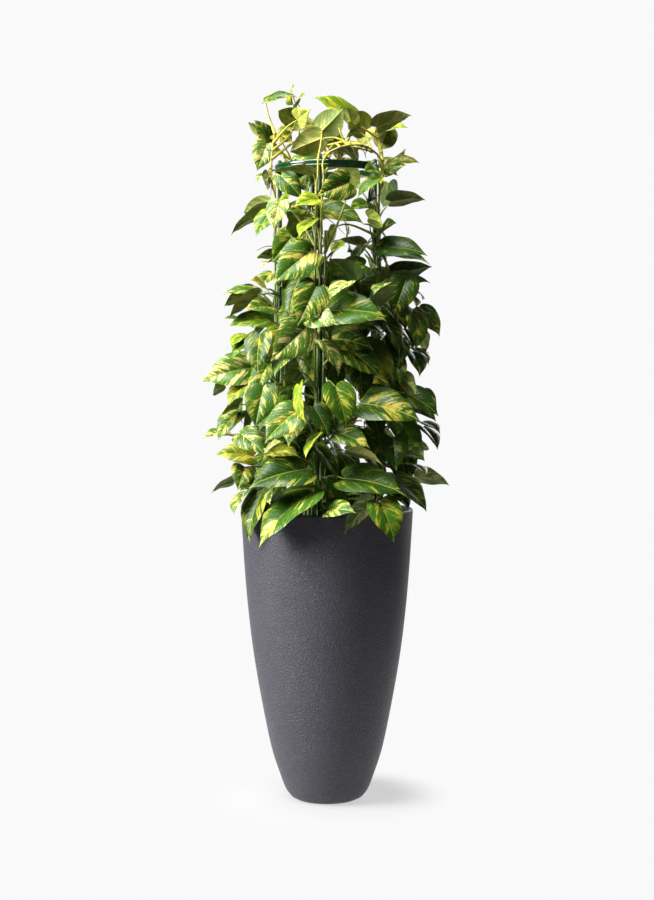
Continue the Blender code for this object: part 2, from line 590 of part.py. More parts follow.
# How a stalk may run: its least, usual and greatest reach, the least distance between two stalks on a stem,
# how many stem places are tried, and the cosine of the sharpest turn that it makes into its blade
STALK_LEAST = 0.016
STALK_USUAL = 0.050
STALK_GREATEST = 0.150
STALK_SPACING = 0.009
STALK_PLACES = 26
SHARPEST_TURN = -0.45
# Lift of a stalk's middle and how far it bows toward the back of the blade, the most natural first
STALK_BENDS = [(0.20, 0.22), (0.05, 0.30), (0.35, 0.10), (0.0, 0.0)]


def stalk_paths(leaf):
    """Stem places and stalk routes for a leaf, the most natural first."""
    options = []
    for number, node in nodes:
        reach = leaf.base - node
        if not STALK_LEAST < reach.length < STALK_GREATEST:
            continue
        if any((node - other).length < STALK_SPACING for other in used[number]):
            continue
        cost = abs(reach.length - STALK_USUAL) + 2.0 * max(0.0, -reach.z) + 0.003 * len(used[number])
        if reach.x * node.x + reach.y * node.y < 0:
            cost += 0.020
        options.append((cost, number, node))
    options.sort(key=lambda option: option[0])
    for option in options[:STALK_PLACES]:
        number, node = option[1:]
        reach = leaf.base - node
        arrive = leaf.up * 0.5 + leaf.along * 0.6
        for lift, bow in STALK_BENDS:
            middle = node.lerp(leaf.base, 0.55) + (Vector((0, 0, lift)) - arrive * bow) * reach.length * 0.5
            last_run = (leaf.base - middle).normalized()
            if last_run.dot(leaf.along) > SHARPEST_TURN and last_run.dot((middle - node).normalized()) > 0.2:
                yield number, [node, middle]


def crosses_itself(verts, faces):
    """Whether faces that share no corner meet, as when a stalk runs through its own blade."""
    tree = BVHTree.FromPolygons(verts, faces)
    return any(not set(faces[one]) & set(faces[other]) for one, other in tree.overlap(tree))


def in_view(point):
    """Where the eye sees a point, in millimetres of the axis plane."""
    scale = EYE_DISTANCE / (EYE_DISTANCE + point.y)
    return point.x * scale / MM, (EYE_HEIGHT + (point.z - EYE_HEIGHT) * scale) / MM


BLADE_CLEARANCE = 0.0016
STALK_CLEARANCE = 0.0007


def place_first(options):
    """Places the first leaf of the options that has room, on the first stalk that runs clear."""
    for leaf in options:
        shell = blade_shell(leaf, BLADE_CLEARANCE)
        if not crowd.clear(*shell):
            continue
        for number, stalk in stalk_paths(leaf):
            end = stalk[1].lerp(leaf.base, 0.97)
            route = tube([stalk[0], stalk[1], end], STALK_RADIUS + STALK_CLEARANCE)
            if not crowd.clear(*route, skip=("stem", number)):
                continue
            if crosses_itself(*leaf_solid(leaf, stalk, swell=GAP)):
                continue
            crowd.add(*shell, ("leaf", number))
            start = stalk[0].lerp(stalk[1], 0.08)
            crowd.add(*tube([start, stalk[1], end], STALK_RADIUS + 0.0002), ("stalk", number))
            used[number].append(stalk[0])
            grown[number].append((leaf, stalk))
            left = [leaf.point(edge, share) for middle, edge, share in leaf.sections]
            right = [leaf.point(edge, -share) for middle, edge, share in reversed(leaf.sections)]
            corners = [leaf.base, *left, leaf.point(1.0, 0.0), *right]
            outlines.append([in_view(corner) for corner in corners])
            return


# Depth shifts in millimetres that are tried in turn, for leaves that hang over the rim and for all others
RIM_SHIFTS = (0, -6, -12, -18, -26, -36, 6, 14)
SHIFTS = (0, 5, 10, -5, 16, 22, 28, -10, 36, 44, 54, 66, 80, 96)
ROLLS = (0, 14, -14, 28, -28)
SHRINKS = (1.0, 0.9, 0.8, 0.66)
LONGEST_LEAN = 0.036
WIDTH_SHARE = 0.72


def seen_leaf(row, depth_shift, roll_shift, shrink, fine):
    """The leaf of one row of the list, moved back by a depth, rolled and made smaller about its tip."""
    base_u, base_v, tip_u, tip_v, looks_wide = (value * MM for value in row[:5])
    layer, underside = row[5:]
    base_u = tip_u + (base_u - tip_u) * shrink
    base_v = tip_v + (base_v - tip_v) * shrink
    seen = math.hypot(tip_u - base_u, tip_v - base_v)
    least = 0.060 - 0.014 * max(0.0, min(1.0, (base_v - 0.9) / 0.2))
    length = max(seen * 1.03, looks_wide * shrink / 0.80, least * shrink)
    out = min(LONGEST_LEAN, math.sqrt(max(0.0, length * length - seen * seen)))
    length = math.hypot(seen, out)
    width = max(WIDTH_SHARE * length, looks_wide * shrink)
    middle_u = (base_u + tip_u) / 2
    reach = between(ENVELOPE, (base_v + tip_v) / 2)
    depth = -math.sqrt(max(0.0, reach * reach - (0.9 * middle_u) ** 2)) + layer * LAYER_STEP + depth_shift
    base = from_view(base_u, base_v, depth + out / 2)
    tip = from_view(tip_u, tip_v, depth - out / 2)
    along = (tip - base).normalized()
    toward = Vector((0.0, -1.0, 0.0))
    toward = (toward - along * toward.dot(along)).normalized()
    across = along.cross(toward)
    if across.z < -0.25 or (abs(across.z) <= 0.25 and across.x * middle_u < 0):
        across = -across
    roll = math.acos(min(1.0, looks_wide * shrink / width)) + math.radians(roll_shift)
    facing = toward * math.cos(roll) * (-1 if underside else 1) + across * math.sin(roll)
    return Leaf(base, tip, facing, width, 0.07, 0.14, fine)


for row in sorted(SEEN_LEAVES, key=lambda row: row[5]):
    shifts = RIM_SHIFTS if min(row[1], row[3]) < 512 else SHIFTS
    place_first(
        seen_leaf(row, shift * MM, roll, shrink, row[5] == 0)
        for shrink in SHRINKS for roll in ROLLS for shift in shifts
    )

# Leaves behind the listed ones, wherever the list leaves the foliage open to the eye. Millimetres
FILL_STEP = 15
FILL_HEIGHTS = range(506, 900, FILL_STEP)
FILL_LIMIT = [(500, 108), (560, 140), (620, 146), (700, 142), (800, 132), (860, 112), (900, 92)]
FILL_SHIFTS = (16, 26, 38, 52, 68, 86)


def covered(across, height):
    """Whether a leaf placed so far hides a point of the view, by counting the outline edges beside it."""
    for outline in outlines:
        beside = 0
        for (u1, v1), (u2, v2) in zip(outline, outline[1:] + outline[:1]):
            if (v1 > height) != (v2 > height) and across < u1 + (u2 - u1) * (height - v1) / (v2 - v1):
                beside += 1
        if beside % 2:
            return True
    return False


def fill_leaves(across, height):
    for shift in FILL_SHIFTS:
        for length in (78, 66, 54):
            swing = across / 260 + random.uniform(-0.45, 0.45)
            base_u = across - swing * length / 2
            tip_u = across + swing * length / 2
            row = (base_u, height + length * 0.45, tip_u, height - length * 0.45, length * 0.6, 1, 0)
            yield seen_leaf(row, shift * MM, random.uniform(-20, 20), 1.0, False)


for height in FILL_HEIGHTS:
    limit = round(between(FILL_LIMIT, height))
    for across in range(-limit, limit + 1, FILL_STEP):
        if not covered(across, height):
            place_first(fill_leaves(across, height))

# Leaves at the sides and the back, which the photograph hides, spread evenly round the trellis
LEVELS = 13
BACK_PER_LEVEL = 6
BACK_TRIES = 9


def back_leaf(level, place_index, attempt):
    height = 0.520 + level * 0.048 + random.uniform(-0.015, 0.015) * (1 + attempt * 0.2)
    turn = math.radians(12 + 156 * (place_index + 0.5 + random.uniform(-0.35, 0.35)) / BACK_PER_LEVEL)
    droop = math.radians(random.uniform(20, 62))
    length = random.uniform(0.070, 0.098) * (1.0 - 0.02 * level) * (1.0 - 0.04 * attempt)
    reach = between(ENVELOPE, height) + random.uniform(-0.030, 0.025) - 0.004 * attempt
    outward = Vector((math.cos(turn), math.sin(turn), 0.0))
    swing = Vector((-outward.y, outward.x, 0.0)) * random.uniform(-0.5, 0.5)
    along = (outward * math.cos(droop) + swing - Vector((0, 0, 1)) * math.sin(droop)).normalized()
    middle = outward * reach + Vector((0, 0, height))
    facing = outward * math.sin(droop) + Vector((0, 0, math.cos(droop))) + swing * 0.6
    width = length * random.uniform(0.66, 0.76)
    return Leaf(middle - along * length / 2, middle + along * length / 2, facing, width, 0.08, 0.14, False)


def stays_behind(leaf):
    """Whether a leaf at the back leaves the outline and the openings of the photograph as they are."""
    tip = leaf.point(1.0, 0.0)
    limit = between(BACK_LIMIT, tip.z)
    if abs(tip.x) > limit or abs(leaf.base.x) > limit:
        return False
    for across, height in (in_view(leaf.base), in_view(tip), in_view(leaf.point(0.5, 0.0))):
        if any(left < across < right and low < height < high for left, right, low, high in WINDOWS):
            return False
    return True


for level in range(LEVELS):
    for place_index in range(BACK_PER_LEVEL):
        tries = (back_leaf(level, place_index, attempt) for attempt in range(BACK_TRIES))
        place_first(leaf for leaf in tries if stays_behind(leaf))


# Each vine: its stem as a curve made into a mesh, united with its stalks and leaves

def curve_mesh(name, points, radius, thin_end):
    curve = bpy.data.curves.new(name, "CURVE")
    curve.dimensions = "3D"
    curve.bevel_depth = radius
    curve.bevel_resolution = 0
    curve.use_fill_caps = True
    spline = curve.splines.new("POLY")
    spline.points.add(len(points) - 1)
    for index, (target, source) in enumerate(zip(spline.points, points)):
        target.co = (*source, 1.0)
        target.radius = 1.0 + (thin_end - 1.0) * index / (len(points) - 1)
    holder = bpy.data.objects.new(name, curve)
    parts.objects.link(holder)
    mesh = evaluated_mesh(holder)
    bpy.data.objects.remove(holder, do_unlink=True)
    body = bmesh.new()
    body.from_mesh(mesh)
    bmesh.ops.remove_doubles(body, verts=body.verts, dist=0.00005)
    body.to_mesh(mesh)
    body.free()
    return mesh


def solid_mesh(name, verts, faces):
    mesh = bpy.data.meshes.new(name)
    body = bmesh.new()
    corners = [body.verts.new(v) for v in verts]
    for face in faces:
        body.faces.new([corners[index] for index in face])
    bmesh.ops.triangulate(body, faces=[face for face in body.faces if len(face.verts) > 3])
    bmesh.ops.recalc_face_normals(body, faces=body.faces)
    body.to_mesh(mesh)
    body.free()
    return mesh


for number, points in enumerate(stems):
    name = f"vine_{number + 1:02d}"
    stem = place(name, curve_mesh(name + "_stem", points, STEM_RADIUS, 0.75), LEAF)
    stalks = []
    for index, (leaf, stalk) in enumerate(grown[number]):
        mesh = solid_mesh(f"{name}_leaf", *leaf_solid(leaf, stalk))
        blade = place(f"{name}_leaf_{index:02d}", mesh, LEAF, cutters)
        stalks.append(blade)
    if stalks:
        combine(stem, "UNION", stalks, name + "_leaves")
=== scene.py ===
"""The looks of the potted golden pothos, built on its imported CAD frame. Metres, +Z up."""

import math
import random

import bpy
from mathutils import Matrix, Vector, noise
from mathutils.bvhtree import BVHTree


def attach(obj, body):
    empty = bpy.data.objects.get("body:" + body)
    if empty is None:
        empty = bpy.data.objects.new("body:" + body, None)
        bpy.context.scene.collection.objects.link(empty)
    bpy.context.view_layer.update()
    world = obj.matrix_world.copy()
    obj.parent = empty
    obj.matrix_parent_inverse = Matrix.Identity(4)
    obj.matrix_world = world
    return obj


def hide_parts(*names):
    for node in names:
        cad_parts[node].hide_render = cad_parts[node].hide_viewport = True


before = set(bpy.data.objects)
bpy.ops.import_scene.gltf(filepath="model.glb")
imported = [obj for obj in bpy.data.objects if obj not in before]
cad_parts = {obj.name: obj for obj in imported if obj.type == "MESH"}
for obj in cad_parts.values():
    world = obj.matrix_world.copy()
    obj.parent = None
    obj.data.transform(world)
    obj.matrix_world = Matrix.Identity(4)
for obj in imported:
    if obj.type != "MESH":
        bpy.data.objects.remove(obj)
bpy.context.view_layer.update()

# Planter: the tall tapered outer pot, cast in one piece from charcoal resin with stone flour in it.
# Its skin is matt and pebbled, and its rim is softly rounded.
PLANTER_HEIGHT = 0.496
PLANTER_WALL = 0.0085
PLANTER_FLOOR = 0.013
PLANTER_SEGMENTS = 32
SHARP_EDGE = math.radians(50)
# Outer radius of the planter at heights above the floor, rim last
PLANTER_OUTLINE = [
    (0.053, 0.000), (0.064, 0.006), (0.072, 0.018), (0.082, 0.045), (0.096, 0.090), (0.113, 0.175),
    (0.1255, 0.250), (0.1345, 0.325), (0.1405, 0.396), (0.1445, 0.460), (0.1465, PLANTER_HEIGHT),
]
FOOT_CURVE = [(0.0, 0.0), (0.050, 0.0), (0.0545, 0.0006), (0.0600, 0.0028)]
RIM_CURVE = [(0.1464, 0.4937), (0.1458, 0.4953), (0.1443, 0.4960), (0.1402, 0.4960), (0.1387, 0.4953),
             (0.1380, 0.4935)]


def between(table, height):
    """Value at a height from a list of (height, value)."""
    if height <= table[0][0]:
        return table[0][1]
    for (low, low_value), (high, high_value) in zip(table, table[1:]):
        if height <= high:
            return low_value + (high_value - low_value) * (height - low) / (high - low)
    return table[-1][1]


wall = [(height, radius - PLANTER_WALL) for radius, height in PLANTER_OUTLINE]
inside = [(0.0, PLANTER_FLOOR), (0.048, PLANTER_FLOOR)]
inside += [(between(wall, height), height) for height in (0.022, 0.045, 0.090, 0.175, 0.325, PLANTER_HEIGHT)]
planter_profile = inside + PLANTER_OUTLINE[::-1] + [(0.0, 0.0)]


def rounded(points, steps):
    """The points of a smooth curve that runs through the given ones, with so many steps between them."""
    points = [Vector(point) for point in points]
    run = []
    for index in range(len(points) - 1):
        before = points[max(index - 1, 0)]
        first, second = points[index], points[index + 1]
        after = points[min(index + 2, len(points) - 1)]
        slope_in, slope_out = (second - before) / 2, (after - first) / 2
        for step in range(steps):
            s = step / steps
            curve = first * (2 * s**3 - 3 * s**2 + 1) + second * (3 * s**2 - 2 * s**3)
            run.append(curve + slope_in * (s**3 - 2 * s**2 + s) + slope_out * (s**3 - s**2))
    return run + [points[-1]]


def circle(radius, height, steps, centre=(0.0, 0.0)):
    """Points at even steps round an upright line through centre."""
    x, y = centre
    turns = [math.tau * step / steps for step in range(steps)]
    return [(x + radius * math.cos(turn), y + radius * math.sin(turn), height) for turn in turns]


def turned(name, profile, segments, finish, centre=(0.0, 0.0)):
    """A closed profile of (radius, height) points turned round an upright line through centre."""
    loop = [tuple(point) for point in profile]
    if sum(r1 * z2 - r2 * z1 for (r1, z1), (r2, z2) in zip(loop, loop[1:] + loop[:1])) > 0:
        loop.reverse()
    verts, rings = [], []
    for radius, height in loop:
        if radius == 0.0:
            rings.append([len(verts)] * segments)
            verts.append((*centre, height))
        else:
            rings.append(range(len(verts), len(verts) + segments))
            verts += circle(radius, height, segments, centre)
    if loop[0][0] > 0.0:
        loop.append(loop[0])
        rings.append(rings[0])
    runs = [0.0]
    for (r1, z1), (r2, z2) in zip(loop, loop[1:]):
        runs.append(runs[-1] + math.hypot(r2 - r1, z2 - z1))
    faces, places = [], []
    for row, (lower, upper) in enumerate(zip(rings, rings[1:])):
        low, high = runs[row] / runs[-1], runs[row + 1] / runs[-1]
        for step in range(segments):
            after = (step + 1) % segments
            left, right = step / segments, (step + 1) / segments
            corners = {}
            for corner, place in ((lower[step], (left, low)), (upper[step], (left, high)),
                                  (upper[after], (right, high)), (lower[after], (right, low))):
                corners.setdefault(corner, place)
            faces.append(list(corners))
            places += corners.values()
    return piece(name, verts, faces, [finish], {"OFBake": places})


def piece(name, verts, faces, finishes, maps, slots=None):
    """A smooth mesh object with its finishes and its flat maps, riding on the pot."""
    mesh = bpy.data.meshes.new(name)
    mesh.from_pydata(verts, [], faces)
    for finish in finishes:
        mesh.materials.append(finish.material)
    for map_name, places in maps.items():
        layer = mesh.uv_layers.new(name=map_name)
        layer.data.foreach_set("uv", [number for place in places for number in place])
    mesh.polygons.foreach_set("use_smooth", [True] * len(mesh.polygons))
    if slots:
        mesh.polygons.foreach_set("material_index", slots)
    mesh.set_sharp_from_angle(angle=SHARP_EDGE)
    made = bpy.data.objects.new(name, mesh)
    bpy.context.scene.collection.objects.link(made)
    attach(made, "root")
    return made


class Nodes:
    """The nodes of a finish, or of the room round the object, added one by one."""

    def __init__(self, owner):
        owner.use_nodes = True
        self.tree = owner.node_tree

    def node(self, kind, sockets={}, **settings):
        made = self.tree.nodes.new(kind)
        for setting, value in settings.items():
            setattr(made, setting, value)
        for socket, value in sockets.items():
            self.feed(made.inputs[socket], value)
        return made

    def feed(self, socket, value):
        """Joins an output to a socket, or sets the socket to a plain value, a colour without its alpha."""
        if isinstance(value, bpy.types.NodeSocket):
            self.tree.links.new(value, socket)
        else:
            socket.default_value = (*value, 1.0) if socket.type == "RGBA" else value

    def parts(self, vector):
        """The x, y and z of a vector."""
        return self.node("ShaderNodeSeparateXYZ", {0: vector}).outputs

    def rise(self, value, low, high):
        """Nothing below low, all above high and a smooth rise between."""
        sockets = {"Value": value, "From Min": low, "From Max": high}
        return self.node("ShaderNodeMapRange", sockets, interpolation_type="SMOOTHSTEP").outputs["Result"]

    def blend(self, share, first, second):
        return self.node("ShaderNodeMix", {0: share, 6: first, 7: second}, data_type="RGBA").outputs[2]

    def sum(self, operation, *values):
        return self.node("ShaderNodeMath", dict(enumerate(values)), operation=operation).outputs[0]


class Finish(Nodes):
    """A surface finish, mixed node by node."""

    def __init__(self, name, roughness, specular):
        self.material = bpy.data.materials.new(name)
        super().__init__(self.material)
        self.shader = self.tree.nodes["Principled BSDF"]
        self.feed(self.shader.inputs["Roughness"], roughness)
        self.feed(self.shader.inputs["Specular IOR Level"], specular)
        self.here = self.node("ShaderNodeTexCoord").outputs["Object"]

    def grain(self, scale, detail, place=None, seed=None):
        """Cloudy noise with so many grains to the metre, or to the unit of place."""
        sockets = {"Vector": place or self.here, "Scale": scale, "Detail": detail}
        if seed:
            sockets["W"] = seed
        dimensions = "4D" if seed else "3D"
        return self.node("ShaderNodeTexNoise", sockets, noise_dimensions=dimensions).outputs["Fac"]

    def relief(self, height, strength, depth):
        """A bump of the surface, from a height between 0 and 1 and its depth in metres."""
        bump = self.node("ShaderNodeBump", {"Strength": strength, "Distance": depth, "Height": height})
        self.feed(self.shader.inputs["Normal"], bump.outputs["Normal"])

    def colour(self, value):
        self.feed(self.shader.inputs["Base Color"], value)

    def mottle(self, grain, first, second):
        """A base colour that drifts between two with a grain."""
        self.colour(self.blend(grain, first, second))


resin = Finish("charcoal_resin", 0.5, 0.36)
pebbles = resin.grain(430.0, 2.0)
flour = resin.grain(560.0, 2.0)
resin_dark = resin.blend(resin.grain(9.0, 3.0), (0.040, 0.039, 0.049), (0.055, 0.053, 0.065))
resin.mottle(resin.rise(flour, 0.50, 0.74), resin_dark, (0.115, 0.111, 0.135))
resin.feed(resin.shader.inputs["Roughness"], resin.sum("MULTIPLY_ADD", pebbles, 0.20, 0.34))
resin.relief(resin.sum("MULTIPLY_ADD", flour, 0.25, pebbles), 1.0, 0.0020)

outer_wall = FOOT_CURVE + PLANTER_OUTLINE[1:-1] + [(0.1463, 0.4915)]
planter_skin = rounded(outer_wall, 5) + RIM_CURVE + rounded(inside[-2:0:-1], 4) + [(0.0, PLANTER_FLOOR)]
planter = turned("planter_casting", planter_skin, 144, resin)
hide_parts("planter")

# Riser block: a light foam block on the planter's floor that lifts the grower's pot up to the rim.
# It is hidden, so its CAD solid stays, with the fine beads of cut foam on it.
foam = Finish("riser_foam", 0.9, 0.2)
beads = foam.node("ShaderNodeTexVoronoi", {"Scale": 260.0, "Vector": foam.here}).outputs["Distance"]
foam.mottle(beads, (0.82, 0.82, 0.80), (0.66, 0.66, 0.64))
foam.relief(beads, 0.4, 0.001)
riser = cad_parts["riser_block"]
riser.data.materials.clear()
riser.data.materials.append(foam.material)

# Nursery pot: the grower's thin black pot with a rolled lip, set loose inside the planter.
# It is moulded from black plastic, dull with dust.
POT_TOP = 0.460
POT_BOTTOM = 0.255
POT_TOP_RADIUS = 0.118
POT_BOTTOM_RADIUS = 0.092
POT_WALL = 0.002
POT_LIP = 0.004
POT_SEGMENTS = 28
lip_radius = POT_TOP_RADIUS + POT_LIP
pot_floor = [(0.0, POT_BOTTOM + POT_WALL), (POT_BOTTOM_RADIUS - POT_WALL, POT_BOTTOM + POT_WALL)]
pot_outside = [(lip_radius, POT_TOP - 2 * POT_LIP), (POT_TOP_RADIUS - 0.001, POT_TOP - 2 * POT_LIP),
               (POT_BOTTOM_RADIUS, POT_BOTTOM), (0.0, POT_BOTTOM)]
pot_profile = pot_floor + [(POT_TOP_RADIUS - POT_WALL, POT_TOP), (lip_radius, POT_TOP)] + pot_outside
rolled_lip = [(POT_TOP_RADIUS - POT_WALL, POT_TOP - 0.0012), (POT_TOP_RADIUS - 0.0010, POT_TOP - 0.0002),
              (lip_radius - 0.0012, POT_TOP), (lip_radius - 0.0002, POT_TOP - 0.0008)]

black_plastic = Finish("nursery_pot_plastic", 0.5, 0.4)
black_plastic.mottle(black_plastic.grain(45.0, 4.0), (0.010, 0.010, 0.010), (0.034, 0.031, 0.028))
black_plastic.relief(black_plastic.grain(900.0, 1.0), 0.3, 0.0002)
nursery_pot = turned("nursery_pot_moulding", pot_floor + rolled_lip + pot_outside, 96, black_plastic)
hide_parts("nursery_pot")

# Potting soil: dark peat and bark that fills the grower's pot, gently domed and crumbly on top.
# Bits of bark and white grit lie in its surface.
# Height of the soil's edge, the rise of its middle, and the play that the CAD keeps between two pieces
SOIL_TOP = 0.448
SOIL_DOME = 0.003
GAP = 0.0003
SOIL_RINGS = 30
SOIL_ROUND = 90
BIT_SIDES = 6
# Bits in the soil: how many, their finish, length and width
SOIL_BITS = ((210, 1, 0.0065, 0.0032), (90, 2, 0.0019, 0.0016))


def soil_radius(height):
    share = (height - POT_BOTTOM - POT_WALL) / (POT_TOP - POT_BOTTOM - POT_WALL)
    return POT_BOTTOM_RADIUS + (POT_TOP_RADIUS - POT_BOTTOM_RADIUS) * share - POT_WALL - 2 * GAP


soil_bottom = POT_BOTTOM + POT_WALL + GAP
soil_reach = soil_radius(SOIL_TOP)
soil_profile = [(0.0, SOIL_TOP + SOIL_DOME), (0.060, SOIL_TOP + 0.002), (soil_reach, SOIL_TOP),
                (soil_radius(soil_bottom), soil_bottom), (0.0, soil_bottom)]
random.seed(7)

peat = Finish("potting_soil", 0.95, 0.2)
crumbs = peat.grain(420.0, 4.0)
damp_peat = peat.blend(peat.grain(30.0, 3.0), (0.010, 0.006, 0.004), (0.030, 0.018, 0.011))
peat.mottle(crumbs, damp_peat, (0.085, 0.052, 0.032))
peat.relief(crumbs, 0.9, 0.003)
bark = Finish("bark_bits", 0.85, 0.25)
fibre = bark.grain(600.0, 3.0)
bark.mottle(fibre, (0.045, 0.022, 0.012), (0.19, 0.105, 0.055))
bark.relief(fibre, 0.6, 0.001)
grit = Finish("white_grit", 0.9, 0.2)
grit.mottle(grit.grain(900.0, 2.0), (0.42, 0.41, 0.38), (0.78, 0.77, 0.74))

soil_verts, soil_faces = [(0.0, 0.0, SOIL_TOP + SOIL_DOME)], []
for ring_index in range(1, SOIL_RINGS + 1):
    radius = soil_reach * ring_index / SOIL_RINGS
    for spot in map(Vector, circle(radius, 0.0, SOIL_ROUND)):
        height = SOIL_TOP + SOIL_DOME * (1 - (radius / soil_reach) ** 2)
        if ring_index < SOIL_RINGS:
            height += noise.noise(spot * 90) * 0.0016 + noise.noise(spot * 300) * 0.0010
        soil_verts.append((spot.x, spot.y, height))
for height in (soil_bottom + 0.002, soil_bottom):
    soil_verts += circle(soil_radius(height), height, SOIL_ROUND)
soil_verts.append((0.0, 0.0, soil_bottom))
for step in range(SOIL_ROUND):
    after = (step + 1) % SOIL_ROUND
    soil_faces.append((0, 1 + step, 1 + after))
    for ring_index in range(SOIL_RINGS + 1):
        first = 1 + ring_index * SOIL_ROUND
        second = first + SOIL_ROUND
        soil_faces.append((first + step, second + step, second + after, first + after))
    soil_faces.append((second + step, len(soil_verts) - 1, second + after))
soil_slots = [0] * len(soil_faces)


def add_bit(spot, size, slot):
    """A rough little lump half sunk in the soil."""
    start = len(soil_verts)
    spin = random.uniform(0, math.tau)
    for reach, level in ((0.0, -1.0), (0.8, -0.55), (1.0, 0.1), (0.7, 0.8), (0.0, 1.0)):
        for step in range(BIT_SIDES if reach else 1):
            turn = math.tau * step / BIT_SIDES
            rough = random.uniform(0.75, 1.2)
            x = size[0] * reach * rough * math.cos(turn)
            y = size[1] * reach * rough * math.sin(turn)
            turned_x = x * math.cos(spin) - y * math.sin(spin)
            turned_y = x * math.sin(spin) + y * math.cos(spin)
            soil_verts.append((spot.x + turned_x, spot.y + turned_y, spot.z + size[2] * level * rough))
    for step in range(BIT_SIDES):
        after = (step + 1) % BIT_SIDES
        low, middle, high = (start + 1 + BIT_SIDES * row for row in range(3))
        soil_faces.append((start, low + after, low + step))
        soil_faces.append((low + step, low + after, middle + after, middle + step))
        soil_faces.append((middle + step, middle + after, high + after, high + step))
        soil_faces.append((high + step, high + after, high + BIT_SIDES))
    soil_slots.extend([slot] * (len(soil_faces) - len(soil_slots)))


for count, slot, long, wide in SOIL_BITS:
    for bit in range(count):
        radius = 0.108 * math.sqrt(random.random())
        turn = random.uniform(0, math.tau)
        level = SOIL_TOP + 0.0026 - 0.22 * radius**2
        spot = Vector((radius * math.cos(turn), radius * math.sin(turn), level))
        scale = random.uniform(0.5, 1.25)
        add_bit(spot, (long * scale, wide * scale, wide * 0.45 * scale), slot)
soil = piece("potting_soil_fill", soil_verts, soil_faces, [peat, bark, grit], {}, soil_slots)
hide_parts("potting_soil")

# Stakes: four straight steel rods in a dark green coat, with a low ring round the coat at every 45 mm
# and a rounded cap. They stand in the soil and carry the hoop.
STAKE_RADIUS = 0.004
STAKE_BOTTOM = 0.300
STAKE_TOP = 1.086
STAKES = {
    "front": (-0.0115, -0.0802),
    "right": (0.0806, -0.0080),
    "back": (-0.0250, 0.0770),
    "left": (-0.0800, 0.0126),
}
MM = 0.001
# Heights of the coat's rings, and what one takes off the radius at heights about its own, in millimetres
COAT_RINGS = range(330, 1070, 45)
COAT_RING = ((0.3, -2.2), (0.0, -0.9), (0.0, 0.9), (0.3, 2.2))
coat = Finish("stake_coating", 0.38, 0.5)
coat.mottle(coat.rise(coat.grain(70.0, 4.0), 0.52, 0.72), (0.012, 0.050, 0.016), (0.045, 0.095, 0.035))
coat.relief(coat.grain(1100.0, 1.0), 0.3, 0.0002)
rod_profile = [(0.0, STAKE_BOTTOM), (STAKE_RADIUS - 0.0012, STAKE_BOTTOM),
               (STAKE_RADIUS - 0.0004, STAKE_BOTTOM + 0.002)]
rod_profile += [(STAKE_RADIUS - groove * MM, (height + rise) * MM)
                for height in COAT_RINGS for groove, rise in COAT_RING]
rod_profile += [(STAKE_RADIUS - 0.0002, STAKE_TOP - 0.004), (STAKE_RADIUS - 0.0008, STAKE_TOP - 0.0016),
                (STAKE_RADIUS - 0.0022, STAKE_TOP - 0.0003), (0.0, STAKE_TOP)]
for side, centre in STAKES.items():
    stake = turned(f"stake_{side}_coated", rod_profile, 20, coat, centre)
    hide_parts(f"stake_{side}")

# Trellis ring: a moulded green plastic hoop, two round ribs with a groove between them.
# Its four eyes slide down over the tops of the stakes and hold them apart.
RING_OUTER = 0.0885
RING_INNER = 0.0856
RING_BOTTOM = 1.0625
RING_HEIGHT = 0.013
RING_SEGMENTS = 32
EYE_RADIUS = 0.0063
RIB_REACH = 0.0018
RIB_HALF = 0.0031
rib = RING_HEIGHT / 4
ring_profile = [
    (RING_INNER, RING_BOTTOM), (RING_OUTER - 0.0006, RING_BOTTOM), (RING_OUTER, RING_BOTTOM + rib),
    (RING_OUTER - 0.0012, RING_BOTTOM + 2 * rib), (RING_OUTER, RING_BOTTOM + 3 * rib),
    (RING_OUTER - 0.0006, RING_BOTTOM + 4 * rib), (RING_INNER, RING_BOTTOM + 4 * rib),
]
ring_plastic = Finish("ring_plastic", 0.16, 1.0)
ring_plastic.mottle(ring_plastic.grain(40.0, 3.0), (0.003, 0.026, 0.007), (0.006, 0.050, 0.011))
ring_plastic.relief(ring_plastic.grain(120.0, 2.0), 0.15, 0.0002)
band = []
for rib_middle in (RING_BOTTOM + RIB_HALF, RING_BOTTOM + 0.0099):
    for step in range(9):
        turn = math.pi * (step / 8 - 0.5)
        radius = RING_OUTER - RIB_REACH + RIB_REACH * math.cos(turn)
        band.append((radius, rib_middle + RIB_HALF * math.sin(turn)))
band += [(RING_INNER, RING_BOTTOM + RING_HEIGHT - 0.0005), (RING_INNER, RING_BOTTOM + 0.0005)]
hoop = turned("trellis_ring_hoop", band, 128, ring_plastic)
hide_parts("trellis_ring")
eye_inner = STAKE_RADIUS + 2 * GAP
eye_profile = [(eye_inner, RING_BOTTOM + 0.001), (EYE_RADIUS - 0.0006, RING_BOTTOM + 0.001),
               (EYE_RADIUS, RING_BOTTOM + 0.0018), (EYE_RADIUS, RING_BOTTOM + 0.0112),
               (EYE_RADIUS - 0.0006, RING_BOTTOM + 0.012), (eye_inner, RING_BOTTOM + 0.012)]
for side, centre in STAKES.items():
    eye = turned(f"ring_eye_{side}", eye_profile, 32, ring_plastic, centre)

# Vines: twenty rooted cuttings of golden pothos, tied up along the stakes. Each is one grown piece of
# stem, leaf stalks, leaves and short brown air roots. The stems wind slowly round the stakes, and the
# glossy heart-shaped leaves turn to the light.
STEM_RADIUS = 0.0024
STEM_OFFSET = 0.0085
STEM_BOTTOM = SOIL_TOP - 0.030
STALK_RADIUS = 0.0013
LEAF_THICKNESS = 0.0014
EYE_DISTANCE = 2.800
EYE_HEIGHT = 0.731
random.seed(11)
painter = random.Random(5)
